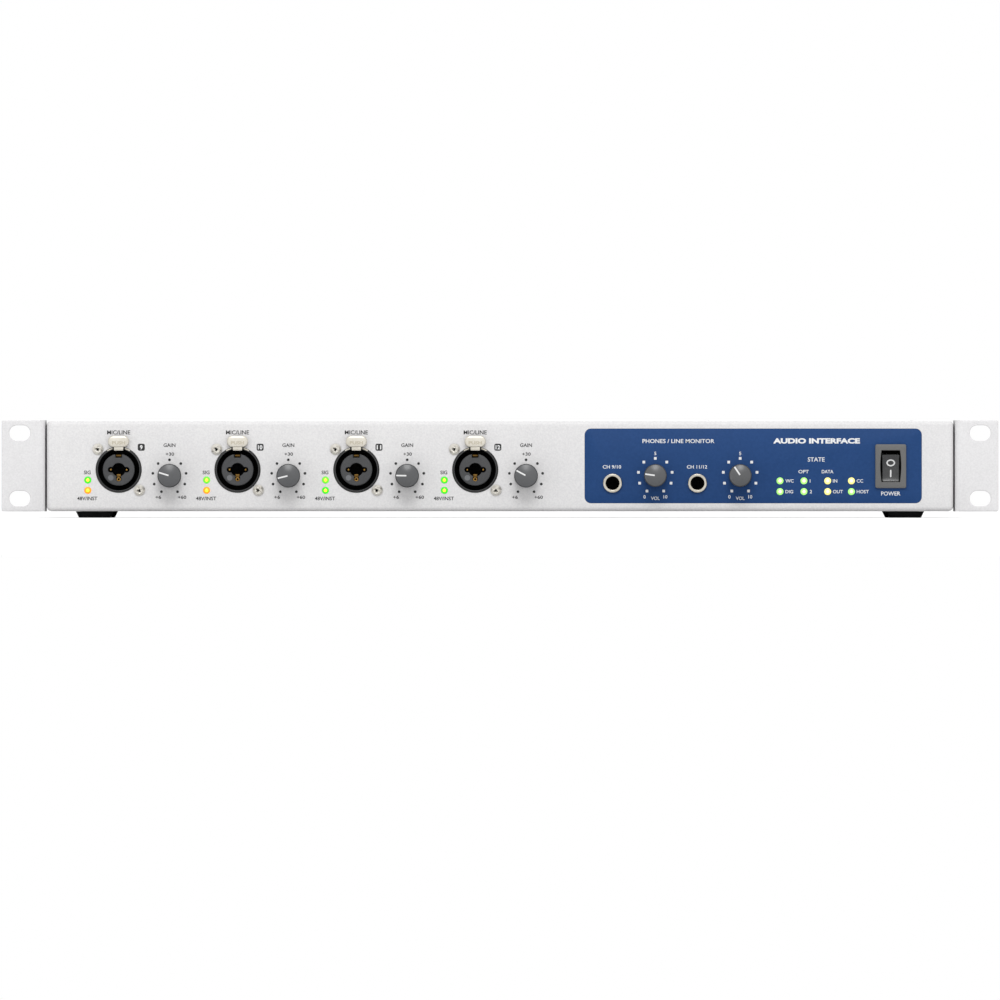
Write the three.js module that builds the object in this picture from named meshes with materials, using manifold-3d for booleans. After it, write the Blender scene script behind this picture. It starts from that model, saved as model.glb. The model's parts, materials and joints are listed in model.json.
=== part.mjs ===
// A 19 inch, one-unit audio interface: millimetres, +Z up, front towards -Y.
// The origin lies under the middle of the unit, on the surface it stands on.

import * as THREE from 'three';
import { mergeVertices } from 'three/addons/utils/BufferGeometryUtils.js';
import Module from 'manifold-3d';

// ---------------------------------------------------------------- dimensions

const FOOT_HEIGHT = 3.1;
const BODY = { width: 439, height: 44 };
const BASE = FOOT_HEIGHT;
const TOP = BASE + BODY.height;
const MIDDLE = BASE + BODY.height / 2;

const FRONT = -117.5;               // outer face of the front panel
const FRONT_BACK = FRONT + 3;       // its inner face
const REAR = 116.3;                 // outer face of the rear panel
const REAR_BACK = REAR - 1.5;       // its inner face
const REACH = 130.5;                // furthest point of knobs and bail
const GAP = 0.3;                    // between parts that meet

const SHELL_HALF = 212.9;           // half width of tray, cover, rear panel
const RAIL = { inner: 213.2, outer: 219.9, front: -114.2, rear: 118.5 };
const SHEET = 1.2;

const RACK = { outer: 241.3, inner: 220.2, thickness: 2.5, legEnd: -60 };
const RACK_SLOT = { x: 232.55, dz: 15.875, width: 10.1, height: 7.5 };

const CHANNEL = { first: -184.65, pitch: 57.55, count: 4, z: 23.2 };
const GAIN = { dx: 24.6, z: 20.3, radius: 5.75, angles: [-73, -104, -89, -61.5] };
const VOLUME = { x: [75.2, 116.3], z: 20.4, radius: 5.5, angles: [-82, -34] };
const KNOB_SHAFT = { radius: 3.0, end: -99 };
const CHANNEL_LIGHT = { dx: -14.95, z: [18.2, 13.2], radius: 1.65 };
const STATE_LIGHT = { x: [135.6, 147.2, 158.7, 170.2], z: [17.8, 12.6] };
const PHONES = { x: [54.5, 95.6], z: 16.7 };
const INLAY = { x: 122.6, z: 25.05, width: 163.2, height: 36.1, depth: 0.6 };
const SWITCH = { x: 189.2, z: 24.9, pivotY: -113.4, tilt: 10 };

const XLR_OUT = { x: -18.35, z: 23.0 };
const XLR_IN = { x: -43.8, z: 22.9 };
const INLET = { x: 187.1, z: 22.9 };
const BAIL = { x: [149.6, 165.5], z: 35.8, radius: 1.5 };
const DATA = { x: [139.3, 118.5], z: 20.1 };
const MODE = { x: 100.1, z: 14.9 };
const HOST = { x: 87.1, z: 15.6 };
const REMOTE = { x: 71.8, z: 17.6 };
const CLOCK = { x: [54.6, 37.8], z: 17.3 };
const OPTICAL = { x: [77.9, 64.1, 51.0, 37.2], z: 33.5 };
const LINE_OUT = { x: [-74.75, -90.7, -106.7, -122.8], z: [33.5, 17.1] };
const LINE_IN = { x: [-149.3, -165.3, -181.3, -197.2], z: [33.5, 17.1] };

const FOOT = { x: 196.4, y: 95, top: 18.3, bottom: 15.6 };
const BOARD = { front: -88.5, main: 7.6, thickness: 1.6 };

// -------------------------------------------------------------- solid helpers

const wasm = await Module();
wasm.setup();

/** Snaps a coordinate to a grid of 1/1024 mm, so that meeting faces coincide. */
const snap = (value) => Math.round(value * 1024) / 1024;

/** The closed solid of a three.js geometry, after an optional placement. */
function solid(geometry, position = [0, 0, 0], rotation = [0, 0, 0]) {
  const matrix = new THREE.Matrix4().makeRotationFromEuler(new THREE.Euler(...rotation));
  matrix.setPosition(...position);
  const bare = geometry.clone().applyMatrix4(matrix);
  bare.attributes.position.array.forEach((value, i, all) => { all[i] = snap(value); });
  bare.deleteAttribute('normal');
  bare.deleteAttribute('uv');
  const merged = mergeVertices(bare, 1e-4);
  return new wasm.Manifold(new wasm.Mesh({
    numProp: 3,
    vertProperties: new Float32Array(merged.attributes.position.array),
    triVerts: new Uint32Array(merged.index.array),
  }));
}

const join = (...parts) => parts.reduce((a, b) => a.add(b));
const cut = (body, ...tools) => tools.reduce((a, b) => a.subtract(b), body);

/** A box from its low and high limits on each axis. */
function block([x0, x1], [y0, y1], [z0, z1]) {
  const box = new THREE.BoxGeometry(x1 - x0, y1 - y0, z1 - z0);
  return solid(box, [(x0 + x1) / 2, (y0 + y1) / 2, (z0 + z1) / 2]);
}

/** A cylinder along Y between two faces. */
function rod(radius, [y0, y1], [x, z], sides = 14) {
  const cylinder = new THREE.CylinderGeometry(radius, radius, y1 - y0, sides);
  return solid(cylinder, [x, (y0 + y1) / 2, z]);
}

/** A flat outline drawn in X and Z, extruded along Y between two faces. */
function slab(shape, [y0, y1], [x, z] = [0, 0], curveSegments = 4) {
  const options = { depth: y1 - y0, bevelEnabled: false, curveSegments };
  const plate = new THREE.ExtrudeGeometry(shape, options);
  return solid(plate, [x, y1, z], [Math.PI / 2, 0, 0]);
}

/** A rectangle with rounded corners, about the origin. */
function roundedRectangle(width, height, radius) {
  const [x, y, r] = [width / 2, height / 2, radius];
  const shape = new THREE.Shape();
  shape.moveTo(-x + r, -y);
  shape.lineTo(x - r, -y);
  shape.absarc(x - r, -y + r, r, -Math.PI / 2, 0);
  shape.lineTo(x, y - r);
  shape.absarc(x - r, y - r, r, 0, Math.PI / 2);
  shape.lineTo(-x + r, y);
  shape.absarc(-x + r, y - r, r, Math.PI / 2, Math.PI);
  shape.lineTo(-x, -y + r);
  shape.absarc(-x + r, -y + r, r, Math.PI, Math.PI * 1.5);
  return shape;
}

/** A rectangle with its two upper (side 1) or lower (side -1) corners cut off. */
function chamferedRectangle(width, height, cutX, cutY, side = 1) {
  const [x, y] = [width / 2, side * height / 2];
  const edge = y - side * cutY;
  return new THREE.Shape([
    new THREE.Vector2(-x, -y),
    new THREE.Vector2(x, -y),
    new THREE.Vector2(x, edge),
    new THREE.Vector2(x - cutX, y),
    new THREE.Vector2(-x + cutX, y),
    new THREE.Vector2(-x, edge),
  ]);
}

const FINISHES = {
  lightPanel: { color: 0xe2e1e1, roughness: 0.55, metalness: 0.0 },
  blueInlay: { color: 0x34517e, roughness: 0.5, metalness: 0.0 },
  greySheet: { color: 0x575857, roughness: 0.6, metalness: 0.2 },
  blackSheet: { color: 0x1c1c1c, roughness: 0.55, metalness: 0.2 },
  zincSheet: { color: 0x9a9a98, roughness: 0.4, metalness: 0.9 },
  blackPlastic: { color: 0x202020, roughness: 0.5, metalness: 0.0 },
  greyPlastic: { color: 0x66686a, roughness: 0.5, metalness: 0.0 },
  nickel: { color: 0xc9c5bb, roughness: 0.25, metalness: 1.0 },
  rubber: { color: 0x262626, roughness: 0.85, metalness: 0.0 },
  lens: { color: 0xb7ee4a, roughness: 0.3, metalness: 0.0 },
  cyan: { color: 0x9dfcfe, roughness: 0.4, metalness: 0.0 },
  circuitBoard: { color: 0x1f5b3a, roughness: 0.5, metalness: 0.0 },
};

const unit = new THREE.Group();

/** Adds a solid to the unit as a named mesh with one of the finishes. */
function place(name, body, finish, { position = [0, 0, 0], rotation = [0, 0, 0] } = {}) {
  const { vertProperties, triVerts } = body.getMesh();
  const geometry = new THREE.BufferGeometry();
  geometry.setAttribute('position', new THREE.BufferAttribute(vertProperties, 3));
  geometry.setIndex(new THREE.BufferAttribute(triVerts, 1));
  geometry.computeVertexNormals();
  const mesh = new THREE.Mesh(geometry, new THREE.MeshStandardMaterial(FINISHES[finish]));
  mesh.name = name;
  mesh.position.set(...position);
  mesh.rotation.set(...rotation);
  unit.add(mesh);
}

// --------------------------------------------------------- repeated positions

const channelXs = Array.from(
  { length: CHANNEL.count },
  (_, i) => CHANNEL.first + i * CHANNEL.pitch,
);
const gainXs = channelXs.map((x) => x + GAIN.dx);
const corners = [-1, 1].flatMap((sx) => [-1, 1].map((sy) => [sx, sy]));
const grid = ({ x, z }) => x.flatMap((cx) => z.map((cz) => [cx, cz]));

// ------------------------------------------------------------------ enclosure

/** U-shaped tray: floor, two side walls, low front lip and board posts. */
function chassisTray() {
  const length = [FRONT_BACK + GAP, REAR_BACK - GAP];
  const wall = [SHELL_HALF - SHEET, SHELL_HALF];
  const height = [BASE, 44.6];
  const posts = grid({ x: [-190, -60, 60, 190], z: [-70, 70] }).map(([x, y]) => solid(
    new THREE.CylinderGeometry(2.6, 2.6, 3.2, 8).rotateX(Math.PI / 2),
    [x, y, BASE + SHEET + 1.4],
  ));
  return join(
    block([-SHELL_HALF, SHELL_HALF], length, [BASE, BASE + SHEET]),
    block(wall, length, height),
    block([-wall[1], -wall[0]], length, height),
    block([-SHELL_HALF, SHELL_HALF], [length[0], length[0] + SHEET], [BASE, BASE + 3.8]),
    ...posts,
  );
}

/** Flat lid with two flanges that drop inside the tray's walls. */
function topCover() {
  const length = [FRONT_BACK + GAP, REAR + 0.9];
  const flange = [SHELL_HALF - 2.8, SHELL_HALF - 1.6];
  const flangeLength = [length[0], REAR_BACK - GAP];
  const drop = [38.5, 45.4];
  return join(
    block([-SHELL_HALF, SHELL_HALF], length, [45.2, 46.7]),
    block(flange, flangeLength, drop),
    block([-flange[1], -flange[0]], flangeLength, drop),
  );
}

/** A side rail with rounded edges, running from front panel to rear. */
function sideRail(side) {
  const edge = 2.6;
  const [length, height] = [RAIL.rear - RAIL.front, BODY.height];
  const profile = roundedRectangle(length - 2 * edge, height - 2 * edge, 0.8);
  const width = RAIL.outer - RAIL.inner;
  const bar = new THREE.ExtrudeGeometry(profile, {
    depth: width - 2 * edge,
    bevelThickness: edge,
    bevelSize: edge,
    bevelSegments: 3,
    curveSegments: 1,
  });
  const middle = [(RAIL.inner + RAIL.outer) / 2, (RAIL.front + RAIL.rear) / 2, MIDDLE];
  const start = [side * middle[0] - width / 2 + edge, middle[1], middle[2]];
  const upright = new THREE.Matrix4().makeBasis(
    new THREE.Vector3(0, 1, 0),
    new THREE.Vector3(0, 0, 1),
    new THREE.Vector3(1, 0, 0),
  );
  return solid(bar.applyMatrix4(upright), start);
}

/** Right-hand angle bracket with two slots for the rack screws. */
function rackEar() {
  const { inner, outer, thickness, legEnd } = RACK;
  const back = FRONT + thickness;
  const bend = 2.2;
  const outline = new THREE.Shape();
  outline.moveTo(outer, FRONT);
  outline.lineTo(outer, back);
  outline.lineTo(inner + thickness, back);
  outline.lineTo(inner + thickness, legEnd);
  outline.lineTo(inner, legEnd);
  outline.lineTo(inner, FRONT + bend);
  outline.absarc(inner + bend, FRONT + bend, bend, Math.PI, Math.PI * 1.5);
  const height = 44.2;
  const bracket = solid(
    new THREE.ExtrudeGeometry(outline, { depth: height, bevelEnabled: false, curveSegments: 5 }),
    [0, 0, MIDDLE - height / 2],
  );
  const hole = roundedRectangle(RACK_SLOT.width, RACK_SLOT.height, 1);
  const slots = [-1, 1].map((s) => slab(
    hole,
    [FRONT - 1, back + 1],
    [RACK_SLOT.x, MIDDLE + s * RACK_SLOT.dz],
    2,
  ));
  const relief = [0, 45.2].map((z) => block([inner - 1, inner + 4], [back, legEnd + 1], [z, z + 5.4]));
  return cut(bracket, ...slots, ...relief);
}

/** Square tapered rubber foot under the tray. */
function foot(sx, sy) {
  const half = Math.SQRT1_2;
  const height = BASE - 0.05;
  const block4 = new THREE.CylinderGeometry(FOOT.top * half, FOOT.bottom * half, height, 4);
  block4.rotateY(Math.PI / 4).rotateX(Math.PI / 2);
  return solid(block4, [sx * FOOT.x, sy * FOOT.y, height / 2]);
}

/** Thick front panel with rounded front edges and all its cut-outs. */
function frontPanel() {
  const edge = 2.3;
  const outline = roundedRectangle(BODY.width - 2 * edge, BODY.height - 2 * edge, 0.4);
  const bevelled = new THREE.ExtrudeGeometry(outline, {
    depth: 3,
    bevelThickness: edge,
    bevelSize: edge,
    bevelSegments: 4,
    curveSegments: 1,
  });
  const blank = solid(bevelled, [0, FRONT + edge + 3, MIDDLE], [Math.PI / 2, 0, 0]);
  const through = [FRONT - 1, FRONT_BACK + 1];
  const slabLimits = block([-250, 250], [FRONT, FRONT_BACK], [0, 60]);
  const openings = [
    ...channelXs.map((x) => rod(11.3, through, [x, CHANNEL.z], 20)),
    ...channelXs.map((x) => block([x - 2.9, x + 2.9], through, [33, 35.1])),
    ...gainXs.map((x) => rod(3.5, through, [x, GAIN.z], 16)),
    ...grid({ x: channelXs.map((x) => x + CHANNEL_LIGHT.dx), z: CHANNEL_LIGHT.z })
      .map((at) => rod(1.8, through, at, 8)),
    ...inlayOpenings(through),
    slab(
      roundedRectangle(INLAY.width + 0.2, INLAY.height + 0.2, 3.1),
      [FRONT - 1, FRONT + INLAY.depth + 0.1],
      [INLAY.x, INLAY.z],
    ),
  ];
  return cut(blank.intersect(slabLimits), ...openings);
}

/** The holes that both the blue inlay and the panel behind it have. */
function inlayOpenings(through) {
  return [
    ...VOLUME.x.map((x) => rod(3.5, through, [x, VOLUME.z], 16)),
    ...PHONES.x.map((x) => rod(4.5, through, [x, PHONES.z], 20)),
    ...grid(STATE_LIGHT).map((at) => rod(1.8, through, at, 8)),
    slab(roundedRectangle(13.2, 19.5, 0.8), through, [SWITCH.x, SWITCH.z], 2),
  ];
}

/** Thin blue sheet, flush in the front panel's pocket. */
function frontInlay() {
  const depth = [FRONT, FRONT + INLAY.depth];
  const sheet = slab(roundedRectangle(INLAY.width, INLAY.height, 3), depth, [INLAY.x, INLAY.z]);
  return cut(sheet, ...inlayOpenings([FRONT - 1, FRONT + 1]));
}

/** Sheet rear panel with a cut-out for each connector. */
function rearPanel() {
  const through = [REAR_BACK - 1, REAR + 1];
  const sheet = block([-SHELL_HALF, SHELL_HALF], [REAR_BACK, REAR], [3.4, 44.3]);
  const slot = (w, h, r, { x, z }) => slab(roundedRectangle(w, h, r), through, [x, z], 1);
  const openings = [
    slot(28.8, 21.0, 1.5, INLET),
    ...BAIL.x.map((x) => rod(1.8, through, [x, BAIL.z], 8)),
    ...DATA.x.map((x) => rod(7.8, through, [x, DATA.z], 16)),
    slot(4.4, 4.4, 0.3, MODE),
    slot(12.6, 11.2, 0.6, HOST),
    slot(7.3, 15.2, 0.6, REMOTE),
    ...CLOCK.x.map((x) => rod(5.0, through, [x, CLOCK.z], 14)),
    ...OPTICAL.x.map((x) => slot(10.0, 9.4, 0.6, { x, z: OPTICAL.z })),
    ...[XLR_OUT, XLR_IN].map(({ x, z }) => rod(11.3, through, [x, z], 20)),
    block([XLR_IN.x - 2.9, XLR_IN.x + 2.9], through, [33, 35.1]),
    ...[...grid(LINE_OUT), ...grid(LINE_IN)].map((at) => rod(4.6, through, at, 10)),
  ];
  return cut(sheet, ...openings);
}

// ------------------------------------------------------------ front components

/**
 * The round socket body that takes a 3-pole plug: flange, barrel, ring-shaped
 * channel and core. Built facing -Y with its flange at the panel's inner face.
 */
function socketBody(x, z, { face, inner, core, coreFace }) {
  const outer = 11.0;
  const depth = 24;
  const body = join(
    rod(outer, [face, inner + 1], [x, z], 20),
    block([x - 12.5, x + 12.5], [inner, inner + 2], [z - 14.8, z + 15.2]),
    rod(12, [inner + 1, inner + depth], [x, z], 14),
  );
  const channel = cut(
    rod(10, [face - 1, face + 15], [x, z], 18),
    rod(core, [coreFace, face + 16], [x, z], 16),
  );
  const latchNotch = block([x - 2.7, x + 2.7], [face - 1, inner + 6], [z + 8.2, z + 12.2]);
  const key = block([x - 1.5, x + 1.5], [face - 1, face + 10], [z + 5.8, z + 8.2]);
  return cut(body, channel, latchNotch, key);
}

/** Socket for a 3-pole plug round a central jack hole. */
function comboSocket(x) {
  const face = FRONT - 0.4;
  const { z } = CHANNEL;
  const body = socketBody(x, z, { face, inner: FRONT_BACK + GAP, core: 7.8, coreFace: FRONT + 0.6 });
  const contacts = [[-3.9, 0], [3.9, 0], [0, -4.7]]
    .map(([dx, dz]) => rod(1.2, [face, face + 11], [x + dx, z + dz], 6));
  return cut(body, rod(3.25, [face, face + 25], [x, z], 20), ...contacts);
}

/** Release tab of a socket: a rounded plate with a shank into the socket. */
function socketLatch(x, z) {
  const plate = [FRONT - 3.9, FRONT - 2.0];
  return join(
    slab(roundedRectangle(10.3, 5.5, 2.0), plate, [x, z + 13.65], 2),
    block([x - 2.3, x + 2.3], [plate[0], FRONT + 5], [z + 9.2, z + 10.6]),
    block([x - 2.3, x + 2.3], plate, [z + 9.2, z + 12]),
  );
}

/** Knob with a shaft, its pointer groove turned clockwise by degrees from up. */
function knob(x, z, radius, degrees) {
  const base = FRONT - 0.7;
  const front = -REACH;
  const outline = [
    [0, front], [radius - 1.0, front], [radius - 0.4, front + 0.5], [radius, base],
    [KNOB_SHAFT.radius, base], [KNOB_SHAFT.radius, KNOB_SHAFT.end], [0, KNOB_SHAFT.end],
  ].map(([r, y]) => new THREE.Vector2(r, y));
  const turned = solid(new THREE.LatheGeometry(outline, 16), [x, 0, z]);
  const groove = new THREE.BoxGeometry(0.8, 1.0, radius);
  groove.translate(0, front - 0.1, radius / 2 + 1.0);
  const angle = THREE.MathUtils.degToRad(degrees);
  return cut(turned, solid(groove, [x, 0, z], [0, angle, 0]));
}

/** Headphone jack: nickel nut and threaded barrel on a moulded body. */
function phonesJack(x) {
  const { z } = PHONES;
  const body = join(
    rod(4.6, [FRONT - 1.6, FRONT - 0.2], [x, z], 14),
    rod(4.3, [FRONT - 0.3, FRONT_BACK + 1], [x, z], 14),
    block([x - 7, x + 7], [FRONT_BACK + GAP, BOARD.front - 1], [z - 6.5, z + 6.5]),
  );
  return cut(body, rod(3.2, [FRONT - 2, FRONT + 25], [x, z], 20));
}

/** Bezel and case of the power switch, open at the front. */
function switchHousing() {
  const { x, z } = SWITCH;
  const body = join(
    slab(roundedRectangle(15, 21.3, 1), [FRONT - 1.5, FRONT - 0.1], [x, z], 2),
    slab(roundedRectangle(12.8, 19.1, 0.6), [FRONT - 0.2, FRONT + 20], [x, z], 1),
  );
  const mouth = slab(roundedRectangle(10.1, 15.3, 1.6), [FRONT - 2, FRONT + 3], [x, z], 3);
  const room = slab(roundedRectangle(10.1, 17.2, 0.4), [FRONT + 1.2, FRONT + 14], [x, z], 1);
  return cut(body, mouth, room);
}

/** Rocker with a concave face, tilted so that its lower half is pressed in. */
function powerRocker() {
  const { x, z, pivotY, tilt } = SWITCH;
  const dish = Array.from({ length: 7 }, (_, i) => (i - 3) / 3)
    .map((t) => new THREE.Vector2(-4.9 + 1.5 * (1 - t * t), t * 6.5));
  const back = [[2.5, 6.2], [3.6, 0], [2.5, -6.2]].map(([y, h]) => new THREE.Vector2(y, h));
  const side = new THREE.ExtrudeGeometry(
    new THREE.Shape([...dish, ...back]),
    { depth: 8.3, bevelEnabled: false },
  );
  const upright = new THREE.Matrix4().makeBasis(
    new THREE.Vector3(0, 1, 0),
    new THREE.Vector3(0, 0, 1),
    new THREE.Vector3(1, 0, 0),
  );
  side.applyMatrix4(upright).translate(-8.3 / 2, 0, 0);
  return solid(side, [x, pivotY, z], [THREE.MathUtils.degToRad(tilt), 0, 0]);
}

/** Light guides that carry indicator light from the board to the panel. */
function lightGuides(points) {
  const xs = points.map(([x]) => x);
  const zs = points.map(([, z]) => z);
  const back = BOARD.front - GAP;
  const bar = block(
    [Math.min(...xs) - 1.1, Math.max(...xs) + 1.1],
    [back - 2, back],
    [Math.min(...zs) - 1.1, Math.max(...zs) + 1.1],
  );
  const guides = points.map((at) => rod(CHANNEL_LIGHT.radius, [FRONT - 0.4, back - 1], at, 6));
  return join(bar, ...guides);
}

// ------------------------------------------------------------- rear components

/** Placement that turns a piece built on the front panel to the rear panel. */
const facingRear = (x) => ({
  position: [2 * x, REAR + FRONT, 0],
  rotation: [0, 0, Math.PI],
});

/** Three-pole output socket: a deep cup with three pins. */
function maleSocket() {
  const { x, z } = XLR_OUT;
  const cup = join(
    rod(11.0, [REAR_BACK - 3, REAR + 2.4], [x, z], 20),
    block([x - 12.5, x + 12.5], [REAR_BACK - 2.3, REAR_BACK - GAP], [z - 14.6, z + 15.4]),
    rod(10.5, [REAR_BACK - 18, REAR_BACK - 1], [x, z], 14),
  );
  const floor = REAR - 13;
  const pins = [[-4.1, 0], [4.1, 0], [0, -4.1]]
    .map(([dx, dz]) => rod(1.1, [floor - 1, REAR - 2], [x + dx, z + dz], 8));
  return join(cut(cup, rod(8.3, [floor, REAR + 3], [x, z], 18)), ...pins);
}

/** Three-pole input socket: the same body as on the front, with three holes. */
function femaleSocket() {
  const { x, z } = XLR_IN;
  const face = FRONT - 0.4;
  const inner = FRONT + (REAR - REAR_BACK) + GAP;
  const body = socketBody(x, z, { face, inner, core: 7.65, coreFace: FRONT + 0.2 });
  const holes = [[-4.0, 0], [4.0, 0], [0, -4.1]]
    .map(([dx, dz]) => rod(1.4, [face, face + 12], [x + dx, z + dz], 8));
  return cut(body, ...holes);
}

/** Three-pin mains inlet with chamfered upper corners. */
function mainsInlet() {
  const { x, z } = INLET;
  const floor = REAR - 14;
  const body = join(
    slab(roundedRectangle(31.4, 23.9, 1), [REAR + 0.1, REAR + 2.3], [x, z], 2),
    slab(roundedRectangle(28.2, 20.4, 1), [REAR - 18, REAR + 0.2], [x, z], 1),
  );
  const recess = slab(chamferedRectangle(24.7, 16.5, 5.4, 5.9), [floor, REAR + 3], [x, z]);
  const pins = [[0, 3.1], [-7.5, -3.6], [7.5, -3.6]].map(([dx, dz]) => block(
    [x + dx - 1, x + dx + 1],
    [floor - 1, REAR - 2],
    [z + dz - 2, z + dz + 2],
  ));
  return join(cut(body, recess), ...pins);
}

/** Wire bail that arches out of the rear panel beside the mains inlet. */
function cordBail() {
  const [x0, x1] = BAIL.x;
  const root = REAR - 3;
  const half = (x1 - x0) / 2;
  const reach = REACH - BAIL.radius - REAR;
  const arch = Array.from({ length: 13 }, (_, i) => {
    const a = (Math.PI * i) / 12;
    return new THREE.Vector3((x0 + x1) / 2 - half * Math.cos(a), REAR + reach * Math.sin(a), BAIL.z);
  });
  const path = new THREE.CatmullRomCurve3([
    new THREE.Vector3(x0, root, BAIL.z),
    ...arch,
    new THREE.Vector3(x1, root, BAIL.z),
  ]);
  const section = new THREE.Shape().absarc(0, 0, BAIL.radius, 0, 2 * Math.PI);
  return solid(new THREE.ExtrudeGeometry(section, {
    steps: 14,
    extrudePath: path,
    curveSegments: 4,
  }));
}

/** Hex nut that clamps one leg of the bail. */
function bailNut() {
  const at = [BAIL.x[1], BAIL.z];
  const acrossCorners = 6.7 / Math.cos(Math.PI / 6);
  return cut(
    rod(acrossCorners / 2, [REAR + 0.1, REAR + 2.7], at, 6),
    rod(BAIL.radius + GAP, [REAR - 1, REAR + 4], at, 14),
  );
}

/** Round five-pin socket: flange, shell ring and insert with five holes. */
function dataSocket(x) {
  const { z } = DATA;
  const body = join(
    rod(9.05, [REAR + 0.1, REAR + 1.2], [x, z], 18),
    rod(7.5, [REAR - 13, REAR + 0.2], [x, z], 16),
  );
  const ring = cut(
    rod(6.9, [REAR - 8, REAR + 2], [x, z], 14),
    rod(5.9, [REAR - 9, REAR + 0.6], [x, z], 14),
  );
  const holes = [-90, -45, 0, 45, 90].map((degrees) => {
    const a = THREE.MathUtils.degToRad(degrees);
    return rod(0.8, [REAR - 7, REAR + 2], [x + 3.6 * Math.sin(a), z - 3.6 * Math.cos(a)], 8);
  });
  const key = block([x - 1.45, x + 1.45], [REAR - 7, REAR + 2], [z + 4.4, z + 6.2]);
  return cut(body, ring, key, ...holes);
}

/** A push button with a square cap on a round stem. */
function modeButton() {
  const { x, z } = MODE;
  return join(
    block([x - 1.45, x + 1.45], [REAR - 4, REAR + 1.9], [z - 1.45, z + 1.45]),
    rod(1.0, [REAR - 8, REAR - 3], [x, z], 8),
  );
}

/** Square device port: shell, chamfered mouth and central tongue. */
function hostPort() {
  const { x, z } = HOST;
  const shell = slab(roundedRectangle(12.15, 10.75, 0.5), [REAR - 16, REAR + 0.8], [x, z], 1);
  const mouth = slab(chamferedRectangle(8.45, 7.7, 1.6, 1.6), [REAR - 9.5, REAR + 2], [x, z]);
  const tongue = block([x - 2.8, x + 2.8], [REAR - 10, REAR - 0.8], [z - 1.6, z + 1.6]);
  return join(cut(shell, mouth), tongue);
}

/** Upright flat port: shell, mouth and tongue on one side. */
function remotePort() {
  const { x, z } = REMOTE;
  const shell = slab(roundedRectangle(6.8, 14.7, 0.4), [REAR - 15, REAR + 0.8], [x, z], 1);
  const mouth = slab(roundedRectangle(5.1, 12.5, 0.2), [REAR - 12, REAR + 2], [x, z], 1);
  const tongue = block([x - 0.4, x + 1.4], [REAR - 13, REAR - 0.8], [z - 5.6, z + 5.6]);
  return join(cut(shell, mouth), tongue);
}

/** Bayonet socket: nut, barrel with two studs and a core in the bore. */
function clockSocket(x) {
  const { z } = CLOCK;
  const end = REAR + 12;
  const studs = new THREE.CylinderGeometry(1.0, 1.0, 11.4, 8).rotateZ(Math.PI / 2);
  const body = join(
    rod(7.95, [REAR + 0.1, REAR + 1.9], [x, z], 16),
    rod(4.85, [REAR - 1, end], [x, z], 16),
    block([x - 6.5, x + 6.5], [REAR - 14, REAR_BACK - GAP], [z - 6.5, z + 6.5]),
    solid(studs, [x, end - 3.2, z]),
    rod(4.7, [REAR_BACK - 1, REAR], [x, z], 16),
  );
  const bore = cut(
    rod(4.15, [end - 10, end + 1], [x, z], 14),
    rod(1.7, [end - 11, end - 2], [x, z], 14),
  );
  return cut(body, bore, rod(0.6, [end - 9, end], [x, z], 8));
}

/** Four optical ports moulded on one block behind the panel. */
function opticalPorts() {
  const { z } = OPTICAL;
  const xs = OPTICAL.x;
  const parts = xs.flatMap((x) => [
    slab(roundedRectangle(10.7, 10.0, 0.6), [REAR + 0.1, REAR + 0.8], [x, z], 1),
    slab(roundedRectangle(9.6, 9.0, 0.4), [REAR_BACK - 2, REAR + 0.2], [x, z], 1),
  ]);
  const backs = block(
    [Math.min(...xs) - 5.2, Math.max(...xs) + 5.2],
    [REAR - 13, REAR_BACK - GAP],
    [z - 5.2, z + 5.2],
  );
  const mouths = xs.map((x) => slab(
    chamferedRectangle(7.4, 7.0, 1.4, 1.6, -1),
    [REAR - 10, REAR + 2],
    [x, z],
  ));
  return cut(join(backs, ...parts), ...mouths);
}

/** Spring-closed flap in the mouth of an optical port. */
function opticalShutter(x) {
  const flap = chamferedRectangle(6.9, 6.4, 1.5, 1.6, -1);
  return slab(flap, [REAR - 0.4, REAR + 0.4], [x, OPTICAL.z]);
}

/** Eight threaded jacks on one moulded bank behind the panel. */
function lineJacks(layout) {
  const points = grid(layout);
  const [low, high] = [Math.min(...layout.x) - 7.3, Math.max(...layout.x) + 7.3];
  const inner = REAR_BACK - GAP;
  const bank = block([low, high], [REAR - 25, inner], [10.2, 40.4]);
  const barrels = points.map((at) => rod(4.35, [inner - 1, REAR + 1.1], at, 12));
  const bores = points.map((at) => rod(3.4, [REAR - 23, REAR + 2], at, 8));
  return cut(join(bank, ...barrels), ...bores);
}

// ------------------------------------------------------------------ inner parts

/** Upright board with a potentiometer behind each knob. */
function frontBoard() {
  const face = BOARD.front;
  const board = block([-208, 208], [face, face + BOARD.thickness], [9.6, 42]);
  const knobs = [
    ...gainXs.map((x) => [x, GAIN.z]),
    ...VOLUME.x.map((x) => [x, VOLUME.z]),
  ];
  const cases = knobs.map(([x, z]) => block([x - 5, x + 5], [-104, face + 1], [z - 6, z + 6]));
  const bores = knobs.map((at) => rod(KNOB_SHAFT.radius + 0.25, [-105, KNOB_SHAFT.end + 1], at, 10));
  return cut(join(board, ...cases), ...bores);
}

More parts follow.
